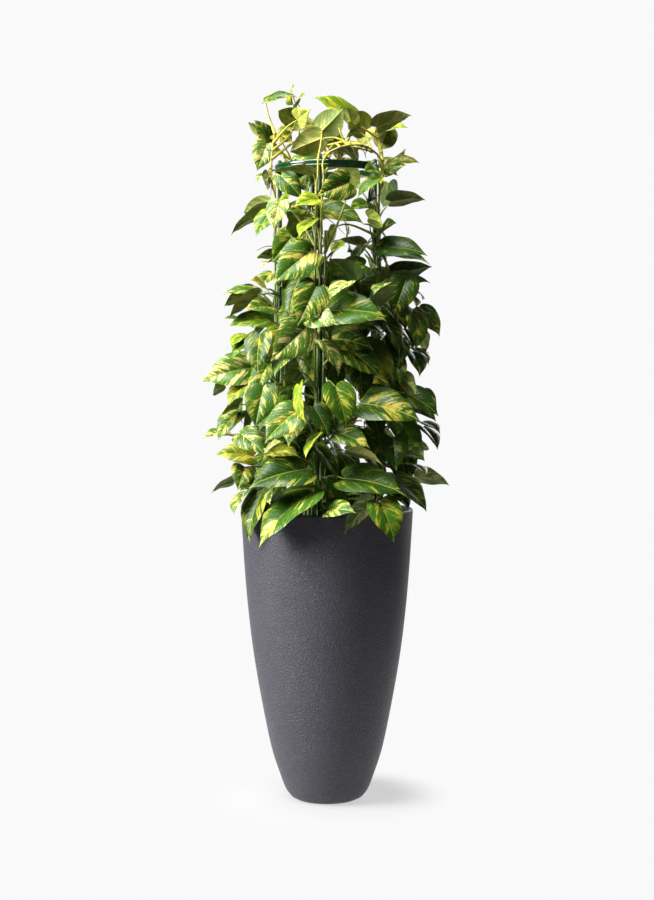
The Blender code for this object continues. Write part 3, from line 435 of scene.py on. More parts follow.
# Each vine: the stake it climbs, its turn round the stake in degrees, the height where it stops following
# the stake, then the points of its free end, in millimetres
VINES = [
    ("front", 133, 1.030, [(-15, -97, 1045), (-14, -98, 1075), (-10, -95, 1098), (-8, -92, 1118)]),
    ("front", 205, 1.020, [(-5, -98, 1045), (-7, -98, 1066), (-1, -96, 1080), (12, -92, 1090),
                           (31, -87, 1097), (53, -76, 1100), (71, -61, 1096), (84, -46, 1088)]),
    ("front", 277, 0.960, []),
    ("front", 349, 0.860, []),
    ("front", 61, 0.740, []),
    ("right", 226, 1.020, [(93, -26, 1046), (93, -34, 1072), (82, -44, 1090), (66, -55, 1094),
                           (48, -64, 1097), (33, -72, 1100), (24, -75, 1116), (20, -75, 1128)]),
    ("right", 296, 1.030, [(94, -2, 1050), (95, -1, 1078), (91, 0, 1104), (85, 1, 1124)]),
    ("right", 8, 0.970, []),
    ("right", 80, 0.850, []),
    ("right", 152, 0.720, []),
    ("back", 340, 1.020, [(-20, 96, 1048), (-14, 97, 1075), (0, 94, 1092), (24, 86, 1098), (46, 73, 1096)]),
    ("back", 52, 1.020, [(-40, 92, 1046), (-45, 93, 1078), (-62, 74, 1094), (-76, 50, 1098)]),
    ("back", 124, 0.950, []),
    ("back", 196, 0.840, []),
    ("back", 268, 0.730, []),
    ("left", 108, 1.020, [(-93, 3, 1045), (-94, 1, 1080), (-91, -1, 1108), (-87, -3, 1130)]),
    ("left", 180, 0.990, []),
    ("left", 252, 0.900, []),
    ("left", 324, 0.800, []),
    ("left", 36, 0.700, []),
]
# How a stem rises: it leaves the soil at the collar, leans out through the mouth, and follows its stake from
# the spread height on, turning about it by so much to the metre
STEM_STEP = 0.060
STEM_TWIST = math.radians(200)
STEM_SPREAD = 0.9
COLLAR_HEIGHT = SOIL_TOP + 0.008
MOUTH_HEIGHT = 0.505
SPREAD_HEIGHT = 0.560


def stem_points(stake, turn, top, free_end):
    """Points of a stem that rises out of the soil, leans to its stake and winds slowly round it."""
    x, y = STAKES[stake]
    steps = max(3, round((top - SPREAD_HEIGHT) / STEM_STEP))
    heights = [STEM_BOTTOM, COLLAR_HEIGHT, MOUTH_HEIGHT]
    heights += [SPREAD_HEIGHT + (top - SPREAD_HEIGHT) * step / steps for step in range(steps + 1)]
    points = []
    for height in heights:
        lean = max(0.0, min(1.0, (SPREAD_HEIGHT - height) / (SPREAD_HEIGHT - COLLAR_HEIGHT)))
        reach = STEM_OFFSET * (1.0 + STEM_SPREAD * lean)
        bend = math.radians(turn) + STEM_TWIST * max(0.0, height - SPREAD_HEIGHT)
        points.append(Vector((x + reach * math.cos(bend), y + reach * math.sin(bend), height)))
    return points + [Vector(point) * MM for point in free_end]


stems = [stem_points(*vine) for vine in VINES]

# Paint of a leaf by its letter: its green, the tint of its light marbling, and the share of the blade that
# the marbling takes
PAINTS = {
    "g": ((0.030, 0.098, 0.005), (0.405, 0.382, 0.038), 0.31),
    "v": ((0.026, 0.084, 0.006), (0.478, 0.401, 0.088), 0.33),
    "c": ((0.042, 0.110, 0.010), (0.572, 0.478, 0.178), 0.42),
    "l": ((0.110, 0.205, 0.008), (0.468, 0.411, 0.036), 0.44),
    "p": ((0.140, 0.180, 0.036), (0.437, 0.382, 0.102), 0.42),
    "b": ((0.170, 0.155, 0.036), (0.478, 0.382, 0.129), 0.45),
    "o": ((0.094, 0.130, 0.007), (0.458, 0.363, 0.037), 0.40),
    # d: a very dark green, partly the leaf's own deep green and partly painted shade for leaves that lie in
    # the foliage's shadow
    "d": ((0.013, 0.048, 0.004), (0.312, 0.296, 0.032), 0.27),
    # t: a bright yellow-green, partly the young leaf's own colour and partly painted light shining through
    # the leaf
    "t": ((0.220, 0.275, 0.035), (0.582, 0.487, 0.151), 0.47),
    "y": ((0.014, 0.054, 0.005), (0.374, 0.306, 0.043), 0.31),
}
# Leaves that fill the inside of the foliage mostly take the dark paint d, partly painted shade for the depth
# of the plant
FILL_PAINTS = "ddgvdog"
BACK_PAINTS = "gvcvdglv"
# The leaves that the photograph shows, read in the plane of the pot's axis in millimetres: base
# (across, height), tip (across, height), how wide it looks, and its paint, a capital where its underside
# faces the viewer. Three layers, the outermost leaves first, each from the crown down to the rim
SEEN_LEAVES = [
    [
        (-103, 1184, -50, 1191, 20, "y"), (-101, 1112, -118, 1067, 42, "c"),
        (-10, 1121, -64, 1098, 42, "T"), (-9, 1133, 28, 1171, 46, "P"), (84, 1140, 143, 1161, 24, "T"),
        (84, 1139, 136, 1140, 26, "l"), (91, 1070, 133, 1077, 34, "v"), (86, 1066, 62, 1067, 26, "g"),
        (88, 1054, 51, 1022, 20, "g"), (38, 1047, -17, 1025, 50, "v"), (-24, 1062, -90, 1065, 7, "P"),
        (-14, 1019, -55, 1008, 28, "l"), (-33, 1000, -65, 1000, 30, "v"), (-18, 1001, 62, 980, 40, "v"),
        (-94, 1000, -164, 960, 17, "P"), (-94, 997, -120, 958, 32, "g"), (-80, 1015, -90, 968, 36, "c"),
        (108, 1015, 167, 1019, 22, "P"), (70, 988, 95, 976, 20, "O"), (-22, 984, -48, 957, 22, "l"),
        (-60, 955, -93, 914, 44, "g"), (-27, 931, -90, 878, 58, "v"), (91, 937, 170, 926, 38, "d"),
        (-27, 822, 18, 808, 40, "c"), (-18, 872, -50, 806, 56, "v"), (-5, 869, -9, 838, 18, "c"),
        (-8, 874, -33, 873, 18, "B"), (35, 880, 5, 853, 24, "c"), (3, 831, 99, 823, 56, "g"),
        (-114, 862, -178, 859, 17, "v"), (-103, 868, -129, 884, 14, "o"), (-117, 857, -168, 817, 18, "B"),
        (-90, 836, -139, 834, 30, "v"), (98, 876, 79, 860, 16, "c"), (86, 842, 118, 876, 22, "P"),
        (134, 884, 111, 821, 50, "d"), (146, 833, 151, 765, 38, "v"), (-35, 803, -95, 747, 64, "c"),
        (-113, 792, -117, 724, 44, "d"), (-127, 735, -213, 712, 58, "c"), (-8, 779, 21, 722, 26, "c"),
        (-20, 787, -25, 706, 52, "v"), (-108, 702, -122, 633, 52, "v"), (-50, 662, -106, 608, 50, "v"),
        (-146, 622, -106, 588, 40, "v"), (-22, 668, 4, 613, 36, "d"), (-46, 704, -36, 640, 18, "l"),
        (14, 703, 33, 631, 50, "g"), (58, 674, 160, 645, 56, "y"), (18, 624, 73, 599, 34, "v"),
        (37, 592, 94, 572, 20, "B"), (132, 692, 190, 654, 38, "d"), (-126, 584, -190, 588, 34, "o"),
        (-140, 566, -152, 527, 40, "v"), (5, 618, 23, 540, 44, "g"), (-8, 625, -38, 583, 11, "l"),
        (-36, 562, -133, 532, 52, "d"), (112, 616, 118, 560, 46, "d"), (30, 546, 132, 520, 46, "d"),
        (-28, 520, -118, 431, 44, "v"), (78, 506, 29, 453, 34, "C"), (90, 506, 115, 438, 58, "g"),
        (3, 492, 48, 489, 26, "v"), (116, 546, 171, 491, 34, "d"), (-138, 524, -160, 486, 18, "c"),
    ],
    [
        (-52, 1150, -83, 1168, 30, "P"), (-50, 1152, -28, 1170, 34, "t"), (-96, 1113, -123, 1153, 30, "d"),
        (-26, 1143, -86, 1133, 30, "t"), (40, 1150, 31, 1174, 24, "P"), (66, 1136, 38, 1163, 44, "T"),
        (-60, 1199, -57, 1176, 14, "l"), (-18, 1088, -62, 1087, 22, "c"), (110, 1081, 156, 1081, 20, "o"),
        (88, 1063, 119, 1060, 18, "c"), (-97, 1064, -118, 1049, 14, "c"), (-98, 1058, -101, 1038, 12, "C"),
        (28, 1073, 56, 1035, 28, "O"), (-78, 1058, -42, 1020, 38, "v"), (104, 1046, 95, 1004, 26, "D"),
        (92, 966, 117, 980, 20, "d"), (66, 1020, 72, 997, 14, "v"), (72, 975, 92, 963, 16, "d"),
        (-118, 984, -142, 976, 10, "v"), (-42, 980, -71, 966, 28, "P"), (-20, 966, -50, 948, 10, "l"),
        (8, 926, 31, 942, 8, "l"), (97, 957, 103, 944, 12, "l"), (107, 883, 178, 907, 36, "D"),
        (108, 881, 175, 880, 22, "D"), (46, 884, 3, 920, 36, "D"), (98, 925, 94, 884, 10, "l"),
        (-92, 896, -112, 868, 28, "v"), (-92, 925, -119, 922, 11, "G"), (-92, 915, -108, 908, 6, "c"),
        (72, 1010, 38, 1002, 26, "g"), (100, 926, 174, 912, 22, "d"), (74, 1042, 68, 1014, 16, "g"),
        (0, 862, -1, 830, 12, "o"), (52, 818, 100, 816, 22, "o"), (85, 878, 56, 882, 16, "D"),
        (108, 880, 93, 876, 10, "g"), (148, 866, 163, 850, 6, "d"), (156, 834, 192, 789, 36, "y"),
        (-137, 791, -163, 770, 20, "l"), (-98, 815, -168, 806, 32, "g"), (10, 784, 79, 766, 40, "d"),
        (34, 766, 90, 719, 46, "d"), (24, 768, 52, 706, 22, "o"), (-52, 730, -74, 704, 20, "P"),
        (-62, 757, -90, 722, 22, "v"), (145, 762, 158, 721, 32, "d"), (-128, 785, -160, 752, 26, "g"),
        (-130, 862, -176, 838, 20, "P"), (140, 858, 152, 838, 16, "o"), (-12, 708, -28, 652, 44, "d"),
        (12, 662, 4, 618, 24, "c"), (34, 638, 59, 652, 10, "B"), (30, 631, 60, 645, 8, "B"),
        (150, 692, 187, 669, 30, "d"), (140, 672, 186, 645, 26, "d"), (160, 642, 193, 624, 14, "y"),
        (163, 634, 189, 597, 22, "d"), (128, 716, 152, 690, 26, "P"), (-138, 706, -167, 672, 26, "o"),
        (-150, 672, -182, 653, 11, "P"), (-163, 622, -210, 617, 16, "c"), (-152, 660, -186, 613, 34, "v"),
        (-18, 600, 18, 544, 24, "g"), (-8, 628, -50, 612, 30, "d"), (-97, 592, -45, 583, 20, "o"),
        (-102, 590, -48, 622, 13, "c"), (135, 600, 166, 577, 34, "d"), (145, 570, 169, 551, 12, "o"),
        (-106, 530, -134, 437, 38, "d"), (150, 551, 209, 536, 30, "C"), (118, 530, 153, 514, 12, "t"),
        (-90, 531, -98, 503, 14, "c"), (78, 508, 45, 524, 26, "l"), (-124, 531, -148, 526, 12, "d"),
    ],
    [
        (-49, 1178, -37, 1195, 8, "o"), (-114, 1126, -132, 1149, 13, "P"), (-84, 1128, -58, 1112, 30, "o"),
        (50, 1146, -23, 1191, 38, "l"), (102, 1137, 89, 1101, 42, "O"), (60, 1134, 66, 1110, 28, "T"),
        (50, 1134, 31, 1121, 18, "T"), (-35, 1060, -31, 1030, 14, "v"), (122, 1086, 131, 1100, 6, "O"),
        (-97, 1010, -142, 996, 40, "P"), (2, 967, 2, 938, 20, "P"), (55, 944, 20, 952, 10, "B"),
        (35, 948, 35, 930, 9, "g"), (27, 986, 34, 958, 10, "o"), (70, 917, 77, 903, 10, "l"),
        (64, 908, 8, 892, 34, "d"), (-60, 890, -78, 872, 14, "P"), (66, 944, 46, 910, 20, "d"),
        (34, 950, 8, 926, 18, "d"), (-62, 1034, -72, 1006, 18, "g"), (88, 850, 110, 820, 26, "O"),
        (158, 789, 172, 767, 22, "P"), (-135, 808, -174, 819, 6, "d"), (-174, 706, -195, 690, 18, "P"),
        (20, 806, 100, 790, 34, "d"), (62, 728, 108, 704, 36, "o"), (-35, 780, -62, 745, 36, "d"),
        (-98, 722, -135, 705, 14, "l"), (-45, 712, -82, 690, 26, "d"), (146, 768, 173, 741, 20, "o"),
        (110, 838, 134, 798, 28, "d"), (128, 800, 146, 766, 24, "d"), (-104, 792, -112, 752, 22, "d"),
        (40, 812, 68, 786, 22, "d"), (-142, 702, -145, 640, 18, "g"), (150, 604, 173, 600, 22, "L"),
        (98, 600, 85, 579, 18, "o"), (-80, 622, -45, 598, 26, "d"), (28, 590, 52, 568, 18, "d"),
        (-128, 632, -144, 612, 18, "g"), (100, 528, 146, 510, 24, "d"), (-160, 540, -199, 521, 14, "P"),
        (-124, 548, -148, 533, 26, "D"), (112, 522, 140, 494, 20, "d"),
    ],
]
LAYER_STEP = 0.028
# Distance of the outermost leaf middles from the axis, by height
ENVELOPE = [(0.40, 0.160), (0.52, 0.156), (0.62, 0.158), (0.70, 0.152), (0.80, 0.140), (0.90, 0.128),
            (1.00, 0.112), (1.10, 0.092), (1.20, 0.060)]
# Half width that leaves at the back may reach, by height
BACK_LIMIT = [(0.48, 0.140), (0.60, 0.150), (0.70, 0.145), (0.80, 0.135), (0.90, 0.115), (1.00, 0.095),
              (1.15, 0.080)]
# Places where the photograph's white ground shows through, as (left, right, low, high) in millimetres
WINDOWS = [(-12, 68, 905, 1000), (20, 68, 1000, 1078), (-80, -60, 962, 1022)]


def from_view(across, height, depth):
    """The point, at a depth behind the axis plane, that the eye sees at (across, height) in that plane."""
    scale = (EYE_DISTANCE + depth) / EYE_DISTANCE
    return Vector((across * scale, depth, EYE_HEIGHT + (height - EYE_HEIGHT) * scale))


def in_view(point):
    """Where the eye sees a point, in millimetres of the axis plane."""
    scale = EYE_DISTANCE / (EYE_DISTANCE + point.y)
    return point.x * scale / MM, (EYE_HEIGHT + (point.z - EYE_HEIGHT) * scale) / MM


# Rough outline of a blade, for keeping leaves apart: station of the midrib, station of the two edge points,
# half width as a share of the width
FINE_SECTIONS = [(0.06, -0.09, 0.34), (0.30, 0.22, 0.50), (0.62, 0.58, 0.37)]
COARSE_SECTIONS = [(0.07, -0.05, 0.38), (0.45, 0.38, 0.46)]
FOLD = 0.14
BLADE_CLEARANCE = 0.0016
STALK_CLEARANCE = 0.0007


class Leaf:
    """A leaf: base, tip, facing of its upper side, width and how it arches and folds along its midrib."""

    def __init__(self, base, tip, facing, width, arch, fine):
        self.base = base
        self.along = tip - base
        self.length = self.along.length
        self.along.normalize()
        self.side = self.along.cross(facing).normalized()
        self.up = self.side.cross(self.along)
        self.width = width
        self.arch = arch
        self.sections = FINE_SECTIONS if fine else COARSE_SECTIONS

    def point(self, station, across, lift=0.0):
        arched = self.arch * self.length * 4 * station * (1 - station)
        rise = arched + FOLD * abs(across) * self.width + lift
        flat = self.base + self.along * (station * self.length) + self.side * (across * self.width)
        return flat + self.up * rise


def sleeve(count, sides):
    """The faces of an open sleeve whose corners are listed ring by ring, so many to a ring."""
    around = [(corner, (corner + 1) % sides) for corner in range(sides)]
    return [(first + near, first + far, first + sides + far, first + sides + near)
            for first in range(0, count - sides, sides) for near, far in around]


def heading(points, index):
    """The way that a run of points goes at one of them."""
    return points[min(index + 1, len(points) - 1)] - points[max(index - 1, 0)]


def leaf_solid(leaf, stalk):
    """Vertices and faces of a stalk that widens into a leaf blade, swollen by the play between pieces."""
    direction = ((leaf.base - stalk[-1]).normalized() + leaf.along).normalized()
    up = leaf.side.cross(direction).normalized()
    if up.dot(leaf.up) < 0:
        up = -up
    rings = [(leaf.base, leaf.side, up)]
    for index in range(len(stalk) - 1, -1, -1):
        ahead = rings[-1][0] - stalk[index]
        behind = stalk[index] - stalk[index - 1] if index else ahead
        new_direction = (ahead.normalized() + behind.normalized()).normalized()
        spin = direction.rotation_difference(new_direction)
        rings.append((stalk[index], (spin @ rings[-1][1]).normalized(), (spin @ rings[-1][2]).normalized()))
        direction = new_direction
    verts = []
    radius = STALK_RADIUS + GAP
    for centre, side, up in reversed(rings):
        verts += [centre + up * radius, centre + side * radius, centre - up * radius, centre - side * radius]
    half = LEAF_THICKNESS / 2 + GAP
    for middle, edge, share in leaf.sections:
        reach = share + GAP / leaf.width
        verts += [leaf.point(middle, 0.0, half), leaf.point(edge, reach), leaf.point(middle, 0.0, -half),
                  leaf.point(edge, -reach)]
    last = len(verts) - 4
    faces = [(3, 2, 1, 0)] + sleeve(len(verts), 4)
    faces += [(last + corner, last + (corner + 1) % 4, last + 4) for corner in range(4)]
    return verts + [leaf.point(1.0 + GAP / leaf.length, 0.0)], faces


def blade_shell(leaf):
    """Vertices and faces of a slab round a leaf blade, used to keep blades apart."""
    rows = [(0.0, 0.0, 0.02)] + leaf.sections + [(1.0, 1.0, 0.02)]
    verts = []
    for middle, edge, share in rows:
        reach = share + BLADE_CLEARANCE / leaf.width
        line = [(edge, reach), (middle, 0.0), (edge, -reach)]
        verts += [leaf.point(station, across, BLADE_CLEARANCE) for station, across in line]
        verts += [leaf.point(station, across, -BLADE_CLEARANCE) for station, across in reversed(line)]
    return verts, sleeve(len(verts), 6)


def tube(points, radius, sides=4):
    """Vertices and faces of an open tube along points, used to keep stalks apart."""
    verts = []
    for index, centre in enumerate(points):
        ahead = heading(points, index)
        side = ahead.orthogonal().normalized()
        up = ahead.cross(side).normalized()
        for corner in range(sides):
            turn = math.tau * corner / sides
            verts.append(centre + up * (radius * math.cos(turn)) + side * (radius * math.sin(turn)))
    return verts, sleeve(len(verts), sides)


def turned_shell(profile, segments):
    """Vertices and faces of a profile turned round Z, used to keep leaves off the pots and the ring."""
    verts = [vert for radius, height in profile for vert in circle(radius, height, segments)]
    return verts, sleeve(len(verts), segments)


def box_shell(low, high):
    """Vertices and faces of a box, used to keep leaves and stalks out of a space that stays open."""
    across, back, up = zip(low, high)
    verts = [Vector((x, y, z)) for x in across for y in back for z in up]
    return verts, [(0, 1, 3, 2), (4, 5, 7, 6), (0, 1, 5, 4), (2, 3, 7, 6), (0, 2, 6, 4), (1, 3, 7, 5)]


# Spaces that stay open: inside the hoop, and in the planter's mouth over the soil
OPEN_SPACES = [
    ((-0.057, -0.024, 1.058), (0.057, 0.029, 1.080)),
    ((-0.061, -0.039, 0.4525), (0.053, 0.055, 0.4955)),
]
CELL = 0.040


class Crowd:
    """The solids placed so far, filed by the cells that their boxes touch, to keep a new one clear."""

    def __init__(self):
        self.cells = {}

    def span(self, verts):
        low = [min(v[axis] for v in verts) for axis in range(3)]
        high = [max(v[axis] for v in verts) for axis in range(3)]
        steps = [range(math.floor(a / CELL), math.floor(b / CELL) + 1) for a, b in zip(low, high)]
        return low, high, [(x, y, z) for x in steps[0] for y in steps[1] for z in steps[2]]

    def add(self, verts, faces, owner):
        low, high, keys = self.span(verts)
        item = (low, high, BVHTree.FromPolygons(verts, faces), owner)
        for key in keys:
            self.cells.setdefault(key, []).append(item)

    def clear(self, verts, faces, skip=None):
        low, high, keys = self.span(verts)
        own = BVHTree.FromPolygons(verts, faces)
        near = {id(item): item for key in keys for item in self.cells.get(key, [])}
        for item_low, item_high, tree, owner in near.values():
            apart = any(item_low[axis] > high[axis] or item_high[axis] < low[axis] for axis in range(3))
            if owner != skip and not apart and own.overlap(tree):
                return False
        return True


crowd = Crowd()
crowd.add(*turned_shell(planter_profile, PLANTER_SEGMENTS), "planter")
crowd.add(*turned_shell(pot_profile, POT_SEGMENTS), "nursery_pot")
crowd.add(*turned_shell(soil_profile, POT_SEGMENTS), "potting_soil")
crowd.add(*turned_shell(ring_profile + ring_profile[:1], RING_SEGMENTS), "trellis_ring")
for x, y in STAKES.values():
    foot, eye_foot, head = (Vector((x, y, height)) for height in (STAKE_BOTTOM, RING_BOTTOM, STAKE_TOP))
    crowd.add(*tube([foot, head], STAKE_RADIUS + GAP, sides=8), "stake")
    crowd.add(*tube([eye_foot, head], EYE_RADIUS + GAP, sides=8), "eye")
for number, points in enumerate(stems):
    crowd.add(*tube(points, STEM_RADIUS + 0.0008), ("stem", number))
for low, high in OPEN_SPACES:
    crowd.add(*box_shell(low, high), "open space")

# Places on the stems where a leaf stalk may start
NODE_STEP = 0.014
nodes = []
for number, points in enumerate(stems):
    for first, second in zip(points[1:], points[2:]):
        count = max(1, round((second - first).length / NODE_STEP))
        nodes += [(number, first.lerp(second, (index + 0.5) / count)) for index in range(count)]
    nodes.append((number, points[-1].lerp(points[-2], 0.1)))
used = [[] for stem in stems]
grown = [[] for stem in stems]
outlines = []

# How a stalk may run: its least, usual and greatest reach, the least distance between two stalks on a stem,
# how many stem places are tried, and the cosines of its sharpest turns into its blade and on the way
STALK_LEAST = 0.016
STALK_USUAL = 0.050
STALK_GREATEST = 0.150
STALK_SPACING = 0.009
STALK_PLACES = 26
SHARPEST_TURN = -0.45
SHARPEST_BEND = 0.2
# What counts against a stem place: reaching down, each stalk that its stem has, and crossing the trellis
DOWN_COST = 2.0
STALK_COST = 0.003
INWARD_COST = 0.020
# Lift of a stalk's middle and how far it bows toward the back of the blade, the most natural first
STALK_BENDS = [(0.20, 0.22), (0.05, 0.30), (0.35, 0.10), (0.0, 0.0)]


def stalk_paths(leaf):
    """Stem places and stalk routes for a leaf, the most natural first."""
    options = []
    for number, node in nodes:
        reach = leaf.base - node
        if not STALK_LEAST < reach.length < STALK_GREATEST:
            continue
        if any((node - other).length < STALK_SPACING for other in used[number]):
            continue
        cost = abs(reach.length - STALK_USUAL) + DOWN_COST * max(0.0, -reach.z)
        cost += STALK_COST * len(used[number])
        if reach.x * node.x + reach.y * node.y < 0:
            cost += INWARD_COST
        options.append((cost, number, node))
    options.sort(key=lambda option: option[0])
    arrive = leaf.up * 0.5 + leaf.along * 0.6
    for cost, number, node in options[:STALK_PLACES]:
        half_reach = (leaf.base - node).length * 0.5
        for lift, bow in STALK_BENDS:
            middle = node.lerp(leaf.base, 0.55) + (Vector((0, 0, lift)) - arrive * bow) * half_reach
            last_run = (leaf.base - middle).normalized()
            turns_in = last_run.dot(leaf.along) > SHARPEST_TURN
            if turns_in and last_run.dot((middle - node).normalized()) > SHARPEST_BEND:
                yield number, [node, middle]


def crosses_itself(verts, faces):
    """Whether faces that share no corner meet, as when a stalk runs through its own blade."""
    tree = BVHTree.FromPolygons(verts, faces)
    return any(not set(faces[one]) & set(faces[other]) for one, other in tree.overlap(tree))


def place_first(options, paint):
    """Places the first leaf of the options that has room, on the first stalk that runs clear."""
    for leaf in options:
        shell = blade_shell(leaf)
        if not crowd.clear(*shell):
            continue
        for number, stalk in stalk_paths(leaf):
            end = stalk[1].lerp(leaf.base, 0.97)
            route = tube([stalk[0], stalk[1], end], STALK_RADIUS + STALK_CLEARANCE)
            if not crowd.clear(*route, skip=("stem", number)) or crosses_itself(*leaf_solid(leaf, stalk)):
                continue
            crowd.add(*shell, ("leaf", number))
            start = stalk[0].lerp(stalk[1], 0.08)
            crowd.add(*tube([start, stalk[1], end], STALK_RADIUS + 0.0002), ("stalk", number))
            used[number].append(stalk[0])
            grown[number].append((leaf, stalk, paint))
            left = [leaf.point(edge, share) for middle, edge, share in leaf.sections]
            right = [leaf.point(edge, -share) for middle, edge, share in reversed(leaf.sections)]
            outlines.append([in_view(corner) for corner in [leaf.base, *left, leaf.point(1.0, 0.0), *right]])
            return


# Depth shifts in millimetres that are tried in turn, for leaves that hang over the rim and for all others,
# and the height below which a leaf counts as one over the rim
RIM_SHIFTS = (0, -6, -12, -18, -26, -36, 6, 14)
SHIFTS = (0, 5, 10, -5, 16, 22, 28, -10, 36, 44, 54, 66, 80, 96)
RIM_LEVEL = 512
ROLLS = (0, 14, -14, 28, -28)
SHRINKS = (1.0, 0.9, 0.8, 0.66)
# Least length of a leaf by height, the longest lean of one toward the viewer, and its least width for its
# length
LEAST_LENGTH = [(0.9, 0.060), (1.1, 0.046)]
LONGEST_LEAN = 0.036
WIDTH_SHARE = 0.72


def seen_leaf(row, layer, depth_shift, roll_shift, shrink):
    """The leaf of one row of a layer, moved back by a depth, rolled and made smaller about its tip."""
    base_u, base_v, tip_u, tip_v, looks_wide = (value * MM for value in row[:5])
    base_u = tip_u + (base_u - tip_u) * shrink
    base_v = tip_v + (base_v - tip_v) * shrink
    seen = math.hypot(tip_u - base_u, tip_v - base_v)
    least = between(LEAST_LENGTH, base_v)
    length = max(seen * 1.03, looks_wide * shrink / 0.80, least * shrink)
    out = min(LONGEST_LEAN, math.sqrt(max(0.0, length * length - seen * seen)))
    length = math.hypot(seen, out)
    width = max(WIDTH_SHARE * length, looks_wide * shrink)
    middle_u = (base_u + tip_u) / 2
    reach = between(ENVELOPE, (base_v + tip_v) / 2)
    nearest = -math.sqrt(max(0.0, reach * reach - (0.9 * middle_u) ** 2))
    depth = nearest + layer * LAYER_STEP + depth_shift * MM
    base = from_view(base_u, base_v, depth + out / 2)
    tip = from_view(tip_u, tip_v, depth - out / 2)
    along = (tip - base).normalized()
    toward = Vector((0.0, -1.0, 0.0))
    toward = (toward - along * toward.dot(along)).normalized()
    across = along.cross(toward)
    if across.z < -0.25 or (abs(across.z) <= 0.25 and across.x * middle_u < 0):
        across = -across
    roll = math.acos(min(1.0, looks_wide * shrink / width)) + math.radians(roll_shift)
    facing = toward * math.cos(roll) * (-1 if row[5].isupper() else 1) + across * math.sin(roll)
    return Leaf(base, tip, facing, width, 0.07, layer == 0)


for layer, rows in enumerate(SEEN_LEAVES):
    for row in rows:
        shifts = RIM_SHIFTS if min(row[1], row[3]) < RIM_LEVEL else SHIFTS
        tries = ((shift, roll, shrink) for shrink in SHRINKS for roll in ROLLS for shift in shifts)
        place_first((seen_leaf(row, layer, *attempt) for attempt in tries), row[5].lower())

# Leaves behind the listed ones, wherever the list leaves the foliage open to the eye. Millimetres
FILL_STEP = 15
FILL_HEIGHTS = range(506, 900, FILL_STEP)
FILL_LIMIT = [(500, 108), (560, 140), (620, 146), (700, 142), (800, 132), (860, 112), (900, 92)]
FILL_SHIFTS = (16, 26, 38, 52, 68, 86)
FILL_LENGTHS = (78, 66, 54)


def covered(across, height):
    """Whether a leaf placed so far hides a point of the view, by counting the outline edges beside it."""
    for outline in outlines:
        beside = 0
        for (u1, v1), (u2, v2) in zip(outline, outline[1:] + outline[:1]):
            if (v1 > height) != (v2 > height) and across < u1 + (u2 - u1) * (height - v1) / (v2 - v1):
                beside += 1
        if beside % 2:
            return True
    return False


def fill_leaves(across, height):
    """Coarse leaves of the second layer that would hide a point of the view."""
    for shift in FILL_SHIFTS:
        for length in FILL_LENGTHS:
            swing = across / 260 + random.uniform(-0.45, 0.45)
            lean, drop = swing * length / 2, length * 0.45
            row = (across - lean, height + drop, across + lean, height - drop, length * 0.6, "g")
            yield seen_leaf(row, 1, shift, random.uniform(-20, 20), 1.0)


for height in FILL_HEIGHTS:
    limit = round(between(FILL_LIMIT, height))
    for across in range(-limit, limit + 1, FILL_STEP):
        if not covered(across, height):
            place_first(fill_leaves(across, height), painter.choice(FILL_PAINTS))

# Leaves at the sides and the back, which the photograph hides, spread evenly round the trellis
BACK_BOTTOM = 0.520
BACK_STEP = 0.048
LEVELS = 13
BACK_PER_LEVEL = 6
BACK_TRIES = 9
UP = Vector((0, 0, 1))


def back_leaf(level, place_index, attempt):
    height = BACK_BOTTOM + level * BACK_STEP + random.uniform(-0.015, 0.015) * (1 + attempt * 0.2)
    turn = math.radians(12 + 156 * (place_index + 0.5 + random.uniform(-0.35, 0.35)) / BACK_PER_LEVEL)
    droop = math.radians(random.uniform(20, 62))
    length = random.uniform(0.070, 0.098) * (1.0 - 0.02 * level) * (1.0 - 0.04 * attempt)
    reach = between(ENVELOPE, height) + random.uniform(-0.030, 0.025) - 0.004 * attempt
    outward = Vector((math.cos(turn), math.sin(turn), 0.0))
    swing = Vector((-outward.y, outward.x, 0.0)) * random.uniform(-0.5, 0.5)
    along = (outward * math.cos(droop) + swing - UP * math.sin(droop)).normalized()
    middle = outward * reach + UP * height
    facing = outward * math.sin(droop) + UP * math.cos(droop) + swing * 0.6
    half = along * length / 2
    return Leaf(middle - half, middle + half, facing, length * random.uniform(0.66, 0.76), 0.08, False)


def stays_behind(leaf):
    """Whether a leaf at the back leaves the outline and the openings of the photograph as they are."""
    tip = leaf.point(1.0, 0.0)
    if max(abs(tip.x), abs(leaf.base.x)) > between(BACK_LIMIT, tip.z):
        return False
    seen = [in_view(leaf.base), in_view(tip), in_view(leaf.point(0.5, 0.0))]
    return not any(left < across < right and low < height < high
                   for across, height in seen for left, right, low, high in WINDOWS)


for level in range(LEVELS):
    for place_index in range(BACK_PER_LEVEL):
        tries = (back_leaf(level, place_index, attempt) for attempt in range(BACK_TRIES))
        place_first(filter(stays_behind, tries), painter.choice(BACK_PAINTS))

leaf_skin = Finish("pothos_leaf", 0.34, 0.22)
veins_map = leaf_skin.node("ShaderNodeUVMap", uv_map="veins").outputs["UV"]
green_paint = leaf_skin.node("ShaderNodeAttribute", attribute_name="leaf_green").outputs
light_paint = leaf_skin.node("ShaderNodeAttribute", attribute_name="leaf_light").outputs
leaf_seed = leaf_skin.node("ShaderNodeAttribute", attribute_name="leaf_seed").outputs["Fac"]


def marbling(along_scale, across_scale, detail):
    """Noise on the vein map, stretched so that it runs out along the side veins."""
    stretch = {0: veins_map, 1: (along_scale, across_scale, 0.0)}
    stretched = leaf_skin.node("ShaderNodeVectorMath", stretch, operation="MULTIPLY").outputs[0]
    return leaf_skin.grain(1.0, detail, stretched, leaf_seed)


def tinted(mask, share, colour, tint):
    """A colour with a share of a tint where the mask is full."""
    return leaf_skin.blend(leaf_skin.sum("MULTIPLY", mask, share), colour, tint)


